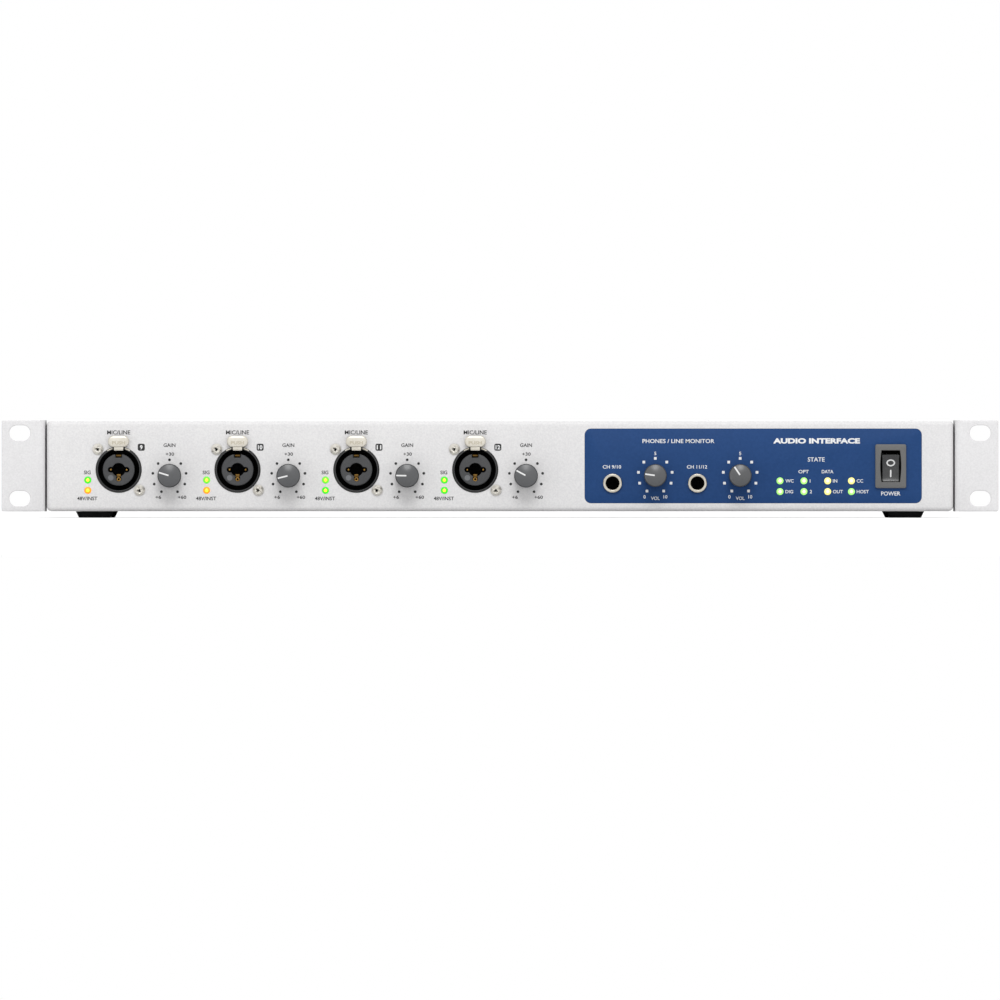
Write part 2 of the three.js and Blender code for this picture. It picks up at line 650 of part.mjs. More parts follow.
/** Main board with chips, capacitors and the case of the mode switch. */
function mainBoard() {
  const top = BOARD.main + BOARD.thickness;
  const board = block([-208, 126], [-84, 108], [BOARD.main, top]);
  const chips = [[-150, -30], [-90, -30], [-30, 10], [40, 0], [80, 40]]
    .map(([x, y]) => block([x - 9, x + 9], [y - 9, y + 9], [top - 0.5, top + 2.4]));
  const cans = [-170, -120, -60, 10, 60].map((x) => solid(
    new THREE.CylinderGeometry(4, 4, 12, 8).rotateX(Math.PI / 2),
    [x, 60, top + 5.5],
  ));
  const { x, z } = MODE;
  const switchCase = cut(
    join(
      block([x - 3.5, x + 3.5], [REAR - 14, REAR - 9], [top - 0.5, z + 3.5]),
      block([x - 2.1, x + 2.1], [REAR - 10, REAR + 0.7], [z - 2.1, z + 2.1]),
    ),
    block([x - 1.7, x + 1.7], [REAR - 9.8, REAR + 2], [z - 1.7, z + 1.7]),
  );
  return join(board, switchCase, ...chips, ...cans);
}

/** Supply board with transformer, mains capacitor and two heat sinks. */
function powerSupply() {
  const top = BOARD.main + BOARD.thickness;
  const board = block([130, 208], [-62, 88], [BOARD.main, top]);
  const transformer = block([146, 190], [0, 36], [top - 0.5, top + 27]);
  const sinks = [-40, 62].map((y) => block([140, 200], [y, y + 3], [top - 0.5, top + 24]));
  const can = solid(
    new THREE.CylinderGeometry(9, 9, 26, 20).rotateX(Math.PI / 2),
    [165, -18, top + 12.5],
  );
  return join(board, transformer, can, ...sinks);
}

/** Flat cable from the front board to the main board. */
function ribbonCable() {
  const start = BOARD.front + BOARD.thickness + GAP;
  const low = BOARD.main + BOARD.thickness + GAP;
  const profile = new THREE.Shape([
    [start, 26], [start + 12, 26], [start + 12, low], [start + 11, low],
    [start + 11, 25], [start, 25],
  ].map(([y, z]) => new THREE.Vector2(y, z)));
  const strip = new THREE.ExtrudeGeometry(profile, { depth: 32, bevelEnabled: false });
  const upright = new THREE.Matrix4().makeBasis(
    new THREE.Vector3(0, 1, 0),
    new THREE.Vector3(0, 0, 1),
    new THREE.Vector3(1, 0, 0),
  );
  return solid(strip.applyMatrix4(upright), [-40, 0, 0]);
}

// -------------------------------------------------------------------- assembly

place('chassis_tray', chassisTray(), 'zincSheet');
place('top_cover', topCover(), 'blackSheet');
place('front_panel', frontPanel(), 'lightPanel');
place('front_inlay', frontInlay(), 'blueInlay');
place('rear_panel', rearPanel(), 'greySheet');
place('side_rail_left', sideRail(-1), 'greySheet');
place('side_rail_right', sideRail(1), 'greySheet');
place('rack_ear_right', rackEar(), 'lightPanel');
place('rack_ear_left', rackEar(), 'lightPanel', {
  position: [0, 0, 2 * MIDDLE],
  rotation: [0, Math.PI, 0],
});
corners.forEach(([sx, sy], i) => place(`foot_${i + 1}`, foot(sx, sy), 'rubber'));

channelXs.forEach((x, i) => {
  place(`combo_socket_${i + 1}`, comboSocket(x), 'blackPlastic');
  place(`combo_latch_${i + 1}`, socketLatch(x, CHANNEL.z), 'nickel');
  place(`gain_knob_${i + 1}`, knob(gainXs[i], GAIN.z, GAIN.radius, GAIN.angles[i]), 'greyPlastic');
  const lights = CHANNEL_LIGHT.z.map((z) => [x + CHANNEL_LIGHT.dx, z]);
  place(`channel_lights_${i + 1}`, lightGuides(lights), 'lens');
});
VOLUME.x.forEach((x, i) => {
  place(`volume_knob_${i + 1}`, knob(x, VOLUME.z, VOLUME.radius, VOLUME.angles[i]), 'greyPlastic');
});
PHONES.x.forEach((x, i) => place(`phones_jack_${i + 1}`, phonesJack(x), 'nickel'));
place('state_lights', lightGuides(grid(STATE_LIGHT)), 'lens');
place('switch_housing', switchHousing(), 'greyPlastic');
place('power_rocker', powerRocker(), 'blackPlastic');

place('mains_inlet', mainsInlet(), 'blackPlastic');
place('cord_bail', cordBail(), 'nickel');
place('bail_nut', bailNut(), 'nickel');
DATA.x.forEach((x, i) => place(`data_socket_${i + 1}`, dataSocket(x), 'blackPlastic'));
place('mode_button', modeButton(), 'cyan');
place('host_port', hostPort(), 'nickel');
place('remote_port', remotePort(), 'nickel');
CLOCK.x.forEach((x, i) => place(`clock_socket_${i + 1}`, clockSocket(x), 'nickel'));
place('optical_ports', opticalPorts(), 'blackPlastic');
OPTICAL.x.forEach((x, i) => place(`optical_shutter_${i + 1}`, opticalShutter(x), 'greyPlastic'));
place('digital_out_socket', maleSocket(), 'blackPlastic');
place('digital_in_socket', femaleSocket(), 'blackPlastic', facingRear(XLR_IN.x));
place('digital_in_latch', socketLatch(XLR_IN.x, XLR_IN.z), 'nickel', facingRear(XLR_IN.x));
place('line_output_jacks', lineJacks(LINE_OUT), 'nickel');
place('line_input_jacks', lineJacks(LINE_IN), 'nickel');

place('front_board', frontBoard(), 'circuitBoard');
place('main_board', mainBoard(), 'circuitBoard');
place('power_supply', powerSupply(), 'circuitBoard');
place('ribbon_cable', ribbonCable(), 'greyPlastic');

export default unit;
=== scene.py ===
"""Looks of a 19 inch, one-unit audio interface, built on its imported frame."""

import json
import logging
import math
from dataclasses import dataclass, field
from enum import Enum
from typing import Any, Iterable, Sequence

import bmesh
import bpy
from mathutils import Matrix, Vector

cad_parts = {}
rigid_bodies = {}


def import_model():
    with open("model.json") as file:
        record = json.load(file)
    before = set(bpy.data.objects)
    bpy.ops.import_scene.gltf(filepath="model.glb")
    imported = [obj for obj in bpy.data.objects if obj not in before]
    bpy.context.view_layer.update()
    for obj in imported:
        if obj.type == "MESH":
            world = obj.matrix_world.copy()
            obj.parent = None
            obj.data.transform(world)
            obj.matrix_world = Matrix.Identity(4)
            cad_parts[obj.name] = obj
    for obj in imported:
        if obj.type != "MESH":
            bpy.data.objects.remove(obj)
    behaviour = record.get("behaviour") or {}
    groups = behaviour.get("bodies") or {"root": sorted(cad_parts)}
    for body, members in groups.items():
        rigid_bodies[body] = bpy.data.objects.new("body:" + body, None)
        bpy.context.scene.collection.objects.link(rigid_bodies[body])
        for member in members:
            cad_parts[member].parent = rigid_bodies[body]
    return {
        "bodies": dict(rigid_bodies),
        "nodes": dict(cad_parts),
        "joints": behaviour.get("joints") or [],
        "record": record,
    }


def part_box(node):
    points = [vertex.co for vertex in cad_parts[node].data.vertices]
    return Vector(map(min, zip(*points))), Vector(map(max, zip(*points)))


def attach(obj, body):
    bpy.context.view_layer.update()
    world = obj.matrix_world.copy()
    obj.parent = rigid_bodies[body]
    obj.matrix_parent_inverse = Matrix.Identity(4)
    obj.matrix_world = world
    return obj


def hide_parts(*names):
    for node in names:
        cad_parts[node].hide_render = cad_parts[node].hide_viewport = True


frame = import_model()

LOG = logging.getLogger("audio_interface")
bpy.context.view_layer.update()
MM = 0.001
Pair = tuple[float, float]
Outline = list[Pair]
SHARP_ANGLE = math.radians(34)


# ------------------------------------------------------------------ node trees


def add_node(tree: bpy.types.NodeTree, kind: str, settings: dict[str, Any] | None = None,
    inputs: dict[Any, Any] | None = None) -> bpy.types.Node:
    """Add one node with its settings, values and incoming links.

    Args:
        tree: The tree that gets the node.
        kind: The node's type name.
        settings: Properties of the node itself.
        inputs: Values or output sockets for its input sockets, by name or index.

    Returns:
        The new node.
    """
    made = tree.nodes.new(kind)
    for key, value in (settings or {}).items():
        setattr(made, key, value)
    for key, value in (inputs or {}).items():
        if isinstance(value, bpy.types.NodeSocket):
            tree.links.new(value, made.inputs[key])
        else:
            made.inputs[key].default_value = value
    return made


TONE = 0.735  # albedo for the bright studio, as a share of the colour wanted on screen


def linear(hex_colour: str, share: float = 1.0) -> tuple[float, float, float, float]:
    """Turn an sRGB hex colour such as 'e2e1e1' into linear RGBA, scaled by a share."""
    parts = [int(hex_colour[i : i + 2], 16) / 255 for i in (0, 2, 4)]
    lin = [c / 12.92 if c <= 0.04045 else ((c + 0.055) / 1.055) ** 2.4 for c in parts]
    return (lin[0] * share, lin[1] * share, lin[2] * share, 1.0)


# -------------------------------------------------------------------- finishes


@dataclass(frozen=True)
class Finish:
    """One surface finish: base colour, gloss, fine grain and slow variation."""

    name: str
    light: str
    dark: str
    roughness: float
    metallic: float = 0.0
    ior: float = 1.5
    grain_mm: float = 0.8
    grain_depth_mm: float = 0.01
    grain_stretch: tuple[float, float, float] = (1.0, 1.0, 1.0)
    cloud_mm: float = 25.0
    gloss_swing: float = 0.06
    coat: float = 0.0
    glow: float = 0.0
    speckle: float = 0.5

    def build(self) -> bpy.types.Material:
        """Make the material.

        Returns:
            A node material whose patterns are scaled from millimetres.
        """
        material = bpy.data.materials.new(self.name)
        material.use_nodes = True
        material.diffuse_color = linear(self.light)
        share = 1.0 if self.glow else TONE
        tree = material.node_tree
        tree.nodes.clear()
        place = add_node(tree, "ShaderNodeTexCoord")
        turned = add_node(tree, "ShaderNodeMapping",
            inputs={"Vector": place.outputs["Object"], "Scale": self.grain_stretch})
        grain = add_node(tree, "ShaderNodeTexNoise", inputs={"Vector": turned.outputs["Vector"],
            "Scale": 1 / (self.grain_mm * MM), "Detail": 2.0})
        cloud = add_node(tree, "ShaderNodeTexNoise", inputs={"Vector": place.outputs["Object"],
            "Scale": 1 / (self.cloud_mm * MM), "Detail": 3.0})
        blend = add_node(tree, "ShaderNodeMix", {"data_type": "FLOAT"},
            {"Factor": self.speckle, "A": cloud.outputs["Fac"], "B": grain.outputs["Fac"]})
        spread = add_node(tree, "ShaderNodeMapRange",
            inputs={"Value": blend.outputs[0], "From Min": 0.36, "From Max": 0.64})
        colour = add_node(tree, "ShaderNodeMix", {"data_type": "RGBA"}, {
            "Factor": spread.outputs["Result"], 6: linear(self.dark, share),
            7: linear(self.light, share)})
        gloss = add_node(tree, "ShaderNodeMapRange", inputs={"Value": cloud.outputs["Fac"],
            "From Min": 0.3, "From Max": 0.7,
            "To Min": max(self.roughness - self.gloss_swing, 0.02),
            "To Max": min(self.roughness + self.gloss_swing, 1.0)})
        bump = add_node(tree, "ShaderNodeBump", inputs={"Strength": 1.0,
            "Distance": self.grain_depth_mm * MM, "Height": grain.outputs["Fac"]})
        shader = add_node(tree, "ShaderNodeBsdfPrincipled", inputs={
            "Base Color": colour.outputs[2], "Roughness": gloss.outputs["Result"],
            "Normal": bump.outputs["Normal"], "Metallic": self.metallic, "IOR": self.ior,
            "Coat Weight": self.coat, "Coat Roughness": 0.12,
            "Emission Color": linear(self.light), "Emission Strength": self.glow})
        add_node(tree, "ShaderNodeOutputMaterial", inputs={"Surface": shader.outputs["BSDF"]})
        return material


class Skin(Enum):
    """Every finish of the unit, by the piece or the surface that wears it."""

    # Polyester powder coat on steel: a fine pebbled grain with soft gloss.
    PANEL = Finish("powder_coat_light_grey", "f3f2f2", "e7e6e7", 0.55, grain_mm=0.75,
        grain_depth_mm=0.035, speckle=0.75)
    # The same coat on the ears, which are bent from thinner sheet.
    EAR = Finish("powder_coat_light_grey_ears", "f2f1f2", "e8e7e8", 0.55, grain_mm=0.75,
        grain_depth_mm=0.03, speckle=0.75)
    # Screen-printed blue field under a satin lacquer.
    BLUE = Finish("satin_lacquered_blue_sheet", "264b82", "21467b", 0.5, ior=1.22, grain_mm=1.0,
        grain_depth_mm=0.008, speckle=0.6)
    # Dark grey powder coat of the rear panel and rails.
    DARK_GREY = Finish("powder_coat_dark_grey", "5d5d5d", "525352", 0.58, grain_mm=0.8,
        grain_depth_mm=0.025, speckle=0.6)
    # Satin black powder coat of the lid.
    BLACK_SHEET = Finish("powder_coat_black", "2b2b2c", "222223", 0.5, grain_mm=0.8,
        grain_depth_mm=0.03, speckle=0.6)
    # Zinc-plated steel: pale, slightly clouded metal.
    ZINC = Finish("zinc_plated_steel", "c4c6c6", "a9acac", 0.36, 1.0, grain_mm=2.0, cloud_mm=9.0,
        gloss_swing=0.1)
    # Glass-filled nylon: near-black moulding with a fine spark-eroded grain.
    BLACK_NYLON = Finish("glass_filled_nylon_black", "1b1b1b", "131313", 0.42, grain_mm=0.5,
        grain_depth_mm=0.006)
    # The socket's insert, of a lighter moulded nylon with a satin sheen.
    INSERT = Finish("satin_nylon_insert", "47484a", "3a3b3d", 0.34, grain_mm=0.6,
        grain_depth_mm=0.004)
    # Near-black moulding of holes and frames, darker than the black nylon: in deep holes, on cavity
    # floors and behind the rear panel's slots it is painted shade for the dark inside.
    THROAT = Finish("matt_black_and_hole_shade", "050505", "020202", 0.9, grain_mm=1.0)
    # Nickel plate on stamped or turned brass: warm and bright.
    NICKEL = Finish("bright_nickel_plate", "efe9dc", "dfd8c8", 0.2, 1.0, grain_mm=1.2,
        grain_depth_mm=0.002, cloud_mm=6.0)
    # Nickel-plated die-cast tab, slightly satin and warm white.
    SATIN_NICKEL = Finish("satin_nickel_die_casting", "f5f0e4", "ebe5d7", 0.38, 0.85, grain_mm=0.9,
        grain_depth_mm=0.004, cloud_mm=8.0)
    # Gold flash on spring contacts.
    GOLD = Finish("gold_flashed_contact", "cfa35a", "96703a", 0.28, 1.0, cloud_mm=2.0)
    # Turned ABS knob with a fine matt skin.
    KNOB = Finish("satin_abs_knob_grey", "616264", "58595b", 0.32, grain_mm=0.5,
        grain_depth_mm=0.004, speckle=0.3)
    # Painted shade: the knob's skirt and chamfer are painted dark for the darker rim round its face,
    # which turns away from the light.
    KNOB_SKIRT_SHADE = Finish("knob_skirt_painted_shade", "2e2f31", "27282a", 0.4, grain_mm=0.5)
    # White two-shot pointer.
    POINTER = Finish("white_abs_pointer", "fbfbfb", "f0f0f0", 0.4, speckle=0.2)
    # Mid grey switch bezel.
    SWITCH_GREY = Finish("moulded_abs_switch_grey", "6d6d6d", "636363", 0.45, grain_mm=0.5,
        grain_depth_mm=0.005)
    # Rails: the same dark coat with a little more gloss.
    RAIL = Finish("powder_coat_dark_grey_rails", "5e5e5e", "565656", 0.42, grain_mm=0.8,
        grain_depth_mm=0.015, speckle=0.4)
    # Painted highlight: a near-white strip along the rear panel's top edge, where its rolled bend
    # catches the light.
    SEAM = Finish("painted_top_edge_highlight", "f0f0f0", "e4e4e4", 0.45, 0.25)
    # Mid grey satin moulding of the rear sockets.
    MOULDED_GREY = Finish("moulded_nylon_mid_grey", "6c6c6c", "626262", 0.42, grain_mm=0.6,
        grain_depth_mm=0.006)
    # Polished tin plate, almost white under soft light.
    BRIGHT_RING = Finish("polished_tin_plate", "fbf9f4", "f1eee6", 0.3, 0.55, grain_mm=1.5,
        grain_depth_mm=0.002, cloud_mm=6.0)
    # Darker nickel of the bent wire and its nut.
    DARK_NICKEL = Finish("drawn_nickel_wire", "b5ad9c", "8f897b", 0.22, 1.0, grain_mm=1.0,
        grain_depth_mm=0.003, grain_stretch=(1, 1, 6), cloud_mm=4.0)
    # Nickel-plated screw heads, a little worn.
    SCREW = Finish("nickel_plated_screw", "fffcf4", "ece7dc", 0.34, 0.75, grain_mm=0.8,
        grain_depth_mm=0.006, cloud_mm=2.0)
    # Black oxide on steel screws.
    DARK_SCREW = Finish("black_oxide_steel", "2a2a2b", "1c1c1d", 0.32, 0.4, cloud_mm=3.0)
    # Dull brass of the latch hooks; on the lower contacts the same darker colour is painted shade on
    # gold like that of the upper ones.
    BRASS_AND_SHADED_GOLD = Finish("dull_brass_and_shaded_gold", "8a6a34", "6a4f24", 0.4, 0.9, cloud_mm=2.0)
    # Smooth ejector mark on a moulding; the same grey floors the bayonet socket's bore as painted shade
    # of its sloping inside.
    MARK = Finish("moulding_mark_and_bore_shade", "77797c", "6a6c70", 0.3, grain_mm=0.5)
    # Polished nylon rocker.
    ROCKER = Finish("polished_nylon_rocker", "3a3b3c", "2f3031", 0.2, coat=0.3)
    # Vulcanised rubber foot with mould bloom.
    RUBBER = Finish("moulded_black_rubber", "2b2b2c", "1f1f20", 0.8, grain_mm=0.6,
        grain_depth_mm=0.02)
    # Pad-printed inks; the third is no ink but painted shade for pressed letters.
    INK_BLACK = Finish("printed_ink_black", "1d1d1f", "141416", 0.5, speckle=0.2)
    INK_WHITE = Finish("printed_ink_white", "ffffff", "f2f4f6", 0.5, speckle=0.2)
    # Painted shade of the letters pressed into the nickel tab, laid on flat like a print.
    LETTER_PRESS_SHADE = Finish("pressed_letter_shade", "d8d0bd", "cfc6b2", 0.5, 0.4)
    # Light guides, lit from behind, with a hotter centre.
    LIT_GREEN = Finish("lit_guide_green", "3fe01a", "2fd010", 0.3, glow=0.55)
    LIT_ORANGE = Finish("lit_guide_orange", "ff9a08", "f58c00", 0.3, glow=0.6)
    LIT_LIME = Finish("lit_guide_lime", "6be62e", "5cd922", 0.3, glow=0.55)
    LIT_YELLOW = Finish("lit_guide_core_yellow", "fff23c", "ffe92c", 0.3, glow=0.75)
    LIT_PALE_GREEN = Finish("lit_guide_pale_green", "a4ee7c", "98e672", 0.3, glow=0.5)
    LIT_PALE_YELLOW = Finish("lit_guide_pale_yellow", "f3ea8e", "ebe080", 0.3, glow=0.5)
    LIT_PALE_CORE = Finish("lit_guide_pale_core", "fcffcf", "f8fcc0", 0.3, glow=0.6)
    # Cyan translucent key top.
    CYAN = Finish("moulded_abs_cyan", "96f4f6", "86e8ee", 0.35, glow=0.12)
    # Dust shutters of the optical ports.
    SHUTTER_PALE = Finish("moulded_abs_pale_grey", "b6b7b9", "a8a9ac", 0.45)
    SHUTTER_DARK = Finish("moulded_abs_dark_grey", "666768", "5c5d5e", 0.5)
    # White insulating block inside the ports.
    BLOCK_WHITE = Finish("moulded_pbt_white", "f4f4f0", "e9e9e4", 0.45)
    # Epoxy circuit board under green mask.
    BOARD = Finish("solder_masked_epoxy_board", "1f6b42", "185535", 0.35, grain_mm=3.0,
        cloud_mm=12.0)
    # Grey flat cable of PVC.
    CABLE = Finish("ribbed_pvc_ribbon", "9a9c9e", "8a8c8e", 0.5, grain_mm=1.27)
    # Painted studio floor.
    FLOOR = Finish("matt_white_floor", "fafafa", "f5f5f5", 0.85, cloud_mm=400.0)


MADE: dict[Skin, bpy.types.Material] = {}


def material_of(skin: Skin) -> bpy.types.Material:
    """Give the material of a finish, made on its first use."""
    if skin not in MADE:
        MADE[skin] = skin.value.build()
    return MADE[skin]


# -------------------------------------------------------------------- outlines


def circle(radius: float, count: int = 48, centre: Pair = (0, 0)) -> Outline:
    """Give the points of a circle, anticlockwise."""
    step = 2 * math.pi / count
    return [(centre[0] + radius * math.cos(i * step), centre[1] + radius * math.sin(i * step))
        for i in range(count)]


def rounded(width: float, height: float, radius: float, steps: int = 6,
    centre: Pair = (0, 0)) -> Outline:
    """Give a rectangle with rounded corners, anticlockwise.

    Args:
        width: Size along u.
        height: Size along v.
        radius: Corner radius.
        steps: Segments in each corner.
        centre: Middle of the rectangle.

    Returns:
        The outline's points.
    """
    points: Outline = []
    for quarter, (su, sv) in enumerate(((1, 1), (-1, 1), (-1, -1), (1, -1))):
        cu = centre[0] + su * (width / 2 - radius)
        cv = centre[1] + sv * (height / 2 - radius)
        for i in range(steps + 1):
            a = math.pi / 2 * (quarter + i / steps)
            points.append((cu + radius * math.cos(a), cv + radius * math.sin(a)))
    return points


def chamfered(width: float, height: float, cut: Pair, side: int = 1,
    centre: Pair = (0, 0)) -> Outline:
    """Give a rectangle with two corners cut off, on top (side 1) or below (side -1)."""
    u, v = width / 2, height / 2
    low = v - cut[1]
    points = [(-u, -v), (u, -v), (u, low), (u - cut[0], v), (cut[0] - u, v), (-u, low)]
    points = [(centre[0] + pu, centre[1] + side * pv) for pu, pv in points]
    return points if side > 0 else points[::-1]


def regular(across_flats: float, sides: int = 6, turn: float = 0.0) -> Outline:
    """Give a regular polygon from its width across flats."""
    radius = across_flats / 2 / math.cos(math.pi / sides)
    turns = [turn + 2 * math.pi * i / sides for i in range(sides)]
    return [(radius * math.cos(t), radius * math.sin(t)) for t in turns]


def keyed(radius: float, half_width: float, level: float, count: int = 44) -> Outline:
    """Give a circle with a square notch at its top that ends at a level."""
    a = math.asin(half_width / radius)
    sweep = 2 * math.pi - 2 * a
    arc = [math.pi / 2 + a + sweep * i / count for i in range(count + 1)]
    points = [(radius * math.cos(t), radius * math.sin(t)) for t in arc]
    return points + [(half_width, level), (-half_width, level)]


def sector(inner: float, outer: float, start: float, end: float, count: int = 44) -> Outline:
    """Give part of a ring between two angles in degrees."""
    turns = [math.radians(start + (end - start) * i / count) for i in range(count + 1)]
    far = [(outer * math.cos(t), outer * math.sin(t)) for t in turns]
    near = [(inner * math.cos(t), inner * math.sin(t)) for t in reversed(turns)]
    return far + near


def star(circles: Sequence[tuple[float, float, float]], count: int = 96) -> Outline:
    """Give the outline round overlapping (radius, u, v) circles, seen from the middle."""
    points = []
    for i in range(count):
        t = 2 * math.pi * i / count
        ray = Vector((math.cos(t), math.sin(t)))
        far = 0.0
        for radius, u, v in circles:
            along = ray.dot(Vector((u, v)))
            inside = radius**2 - (u * u + v * v - along**2)
            if inside >= 0:
                far = max(far, along + math.sqrt(inside))
        points.append((far * ray.x, far * ray.y))
    return points


def barrel(width: float, height: float, bow: float, count: int = 8) -> Outline:
    """Give a rectangle whose two sides bow outwards, anticlockwise."""
    steps = [i / count * 2 - 1 for i in range(count + 1)]
    right = [(width / 2 - bow * t * t, t * height / 2) for t in steps]
    return right + [(-u, -v) for u, v in right]


def mirrored(outline: Outline) -> Outline:
    """Mirror an outline in u and keep it anticlockwise."""
    return [(-u, v) for u, v in reversed(outline)]


def inset(outline: Outline, depth: float) -> Outline:
    """Move a convex anticlockwise outline inwards by a depth."""
    moved = []
    for i, (u, v) in enumerate(outline):
        before, after = outline[i - 1], outline[(i + 1) % len(outline)]
        a = Vector((u - before[0], v - before[1])).normalized()
        b = Vector((after[0] - u, after[1] - v)).normalized()
        middle = Vector((-(a.y + b.y), a.x + b.x))
        scale = depth / max(1e-6, middle.length_squared / 2)
        moved.append((u + middle.x * scale, v + middle.y * scale))
    return moved


def softened(profile: Sequence[Pair], size: float) -> list[Pair]:
    """Round the inner corners of an open profile.

    Args:
        profile: Points of radius and height.
        size: How far from a corner its rounding starts.

    Returns:
        The profile with three points in place of each sharp corner.
    """
    points = [Vector(p) for p in profile]
    made = [points[0]]
    for before, here, after in zip(points, points[1:], points[2:]):
        reach = min(size, (here - before).length * 0.45, (after - here).length * 0.45)
        start = here + (before - here).normalized() * reach
        end = here + (after - here).normalized() * reach
        made += [start, (start + 2 * here + end) / 4, end]
    made.append(points[-1])
    return [(p.x, p.y) for p in made]


# ---------------------------------------------------------------------- pieces


class Side(Enum):
    """Which side a component is drawn on; TOP looks down, with u along X."""

    FRONT = 1
    REAR = -1
    TOP = 0


@dataclass(frozen=True)
class Spot:
    """A place on a panel: u to the viewer's right, v up and w out of it, in mm."""

    side: Side
    x: float
    z: float
    y: float

    def at(self, u: float, v: float, w: float) -> Vector:
        """Give the point in metres in the unit's frame."""
        s = self.side.value
        if self.side is Side.TOP:
            return Vector((self.x + u, self.y + v, self.z + w)) * MM
        return Vector((self.x + s * u, self.y - s * w, self.z + v)) * MM


@dataclass(frozen=True)
class Node:
    """The box of one CAD node, in millimetres."""

    lo: Vector
    hi: Vector

    @staticmethod
    def of(name: str) -> "Node":
        """Read the box of a CAD node."""
        lo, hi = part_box(name)
        return Node(lo / MM, hi / MM)

    @property
    def mid(self) -> Vector:
        """Give the middle of the box."""
        return (self.lo + self.hi) / 2


FRONT_FACE = Node.of("front_panel").lo.y
REAR_FACE = Node.of("rear_panel").hi.y


def spot(side: Side, x: float, z: float) -> Spot:
    """Give a place on the outer face of the front or rear panel."""
    return Spot(side, x, z, FRONT_FACE if side is Side.FRONT else REAR_FACE)


ABOVE = Spot(Side.TOP, 0.0, 0.0, 0.0)


@dataclass
class Piece:
    """Collects closed shells in the frame of a spot and makes one object of them."""

    name: str
    spot: Spot
    shells: bmesh.types.BMesh = field(default_factory=bmesh.new)
    skins: list[Skin] = field(default_factory=list)

    def _skin(self, skin: Skin) -> int:
        """Give the slot number of a finish."""
        if skin not in self.skins:
            self.skins.append(skin)
        return self.skins.index(skin)

    def _loop(self, outline: Iterable[Pair], w: float) -> list[bmesh.types.BMVert]:
        """Add the points of an outline at a height."""
        return [self.shells.verts.new(self.spot.at(u, v, w)) for u, v in outline]

    def _walls(self, rings: Sequence[Sequence[bmesh.types.BMVert]],
        made: list[bmesh.types.BMFace]) -> None:
        """Join rings of equal length with quads."""
        for low, high in zip(rings, rings[1:]):
            count = len(low)
            for i in range(count):
                j = (i + 1) % count
                face = self.shells.faces.new((low[i], low[j], high[j], high[i]))
                face.smooth = True
                made.append(face)

    def _fill(self, loops: Sequence[Sequence[bmesh.types.BMVert]],
        made: list[bmesh.types.BMFace]) -> None:
        """Fill the flat area between an outline and its holes."""
        if len(loops) == 1:
            made.append(self.shells.faces.new(loops[0]))
            made[-1].smooth = False
            return
        edges = [self.shells.edges.get((ring[i], ring[(i + 1) % len(ring)])) for ring in loops
            for i in range(len(ring))]
        filled = bmesh.ops.triangle_fill(self.shells, use_beauty=True, use_dissolve=False,
            edges=edges)
        for item in filled["geom"]:
            if isinstance(item, bmesh.types.BMFace):
                item.smooth = False
                made.append(item)

    def _close(self, made: list[bmesh.types.BMFace], skin: Skin) -> None:
        """Turn a finished shell's faces outwards and give them their finish."""
        slot = self._skin(skin)
        bmesh.ops.recalc_face_normals(self.shells, faces=made)
        for face in made:
            face.material_index = slot

    def sheet(self, outline: Outline, w: Pair, skin: Skin, holes: Sequence[Outline] = (),
        edge: float = 0.0, steps: int = 3, lip: float = 0.0,
        square_at: float | None = None) -> "Piece":
        """Add a flat body with straight or rounded front edges and holes.

        Args:
            outline: Outer outline, anticlockwise.
            w: Back and front height.
            skin: Its finish.
            holes: Outlines of holes, anticlockwise.
            edge: Radius of the rounded front edge.
            steps: Segments of that rounding.
            lip: Size of the chamfer round each hole's front.
            square_at: The u of the one side that stays square.

        Returns:
            This piece.
        """
        made: list[bmesh.types.BMFace] = []
        back, front = w
        rings = [self._loop(outline, back)]
        for i in range(steps + 1 if edge else 1):
            a = math.pi / 2 * i / steps
            shift = edge * (1 - math.cos(a))
            height = front - edge * (1 - math.sin(a))
            loop = inset(outline, shift)
            if square_at is not None:
                near = edge * 1.01
                loop = [(square_at if abs(u - square_at) <= near else u, v) for u, v in loop]
            rings.append(self._loop(loop, height))
        self._walls(rings, made)
        tunnels = []
        for hole in holes:
            tunnel = [self._loop(hole, back)]
            if lip:
                tunnel.append(self._loop(hole, front - lip))
                tunnel.append(self._loop(inset(hole, -lip), front))
            else:
                tunnel.append(self._loop(hole, front))
            self._walls(tunnel, made)
            tunnels.append(tunnel)
        self._fill([rings[0], *(t[0] for t in tunnels)], made)
        self._fill([rings[-1], *(t[-1] for t in tunnels)], made)
        self._close(made, skin)
        return self

    def turned(self, profile: Sequence[Pair], skin: Skin, centre: Pair = (0, 0), count: int = 48,
        soft: float = 0.0) -> "Piece":
        """Add a lathe-turned body from a profile of radius and height.

        Args:
            profile: Points from axis to axis, or a closed ring away from it.
            skin: Its finish.
            centre: Where the axis meets the panel.
            count: Segments round the axis.
            soft: Size of the rounding of its corners.

        Returns:
            This piece.
        """
        made: list[bmesh.types.BMFace] = []
        ring_shaped = profile[0][0] > 1e-6
        points = list(profile) + ([profile[0]] if ring_shaped else [])
        if soft:
            points = softened(points, soft)
        if ring_shaped:
            points = points[:-1]
        rings = []
        for radius, w in points:
            if radius <= 1e-6:
                rings.append([self.shells.verts.new(self.spot.at(*centre, w))])
            else:
                rings.append(self._loop(circle(radius, count, centre), w))
        if ring_shaped:
            rings.append(rings[0])
        for low, high in zip(rings, rings[1:]):
            if len(low) == len(high):
                self._walls([low, high], made)
                continue
            pole, ring = (low[0], high) if len(low) == 1 else (high[0], low)
            for i in range(count):
                face = self.shells.faces.new((pole, ring[i], ring[(i + 1) % count]))
                face.smooth = True
                made.append(face)
        self._close(made, skin)
        return self

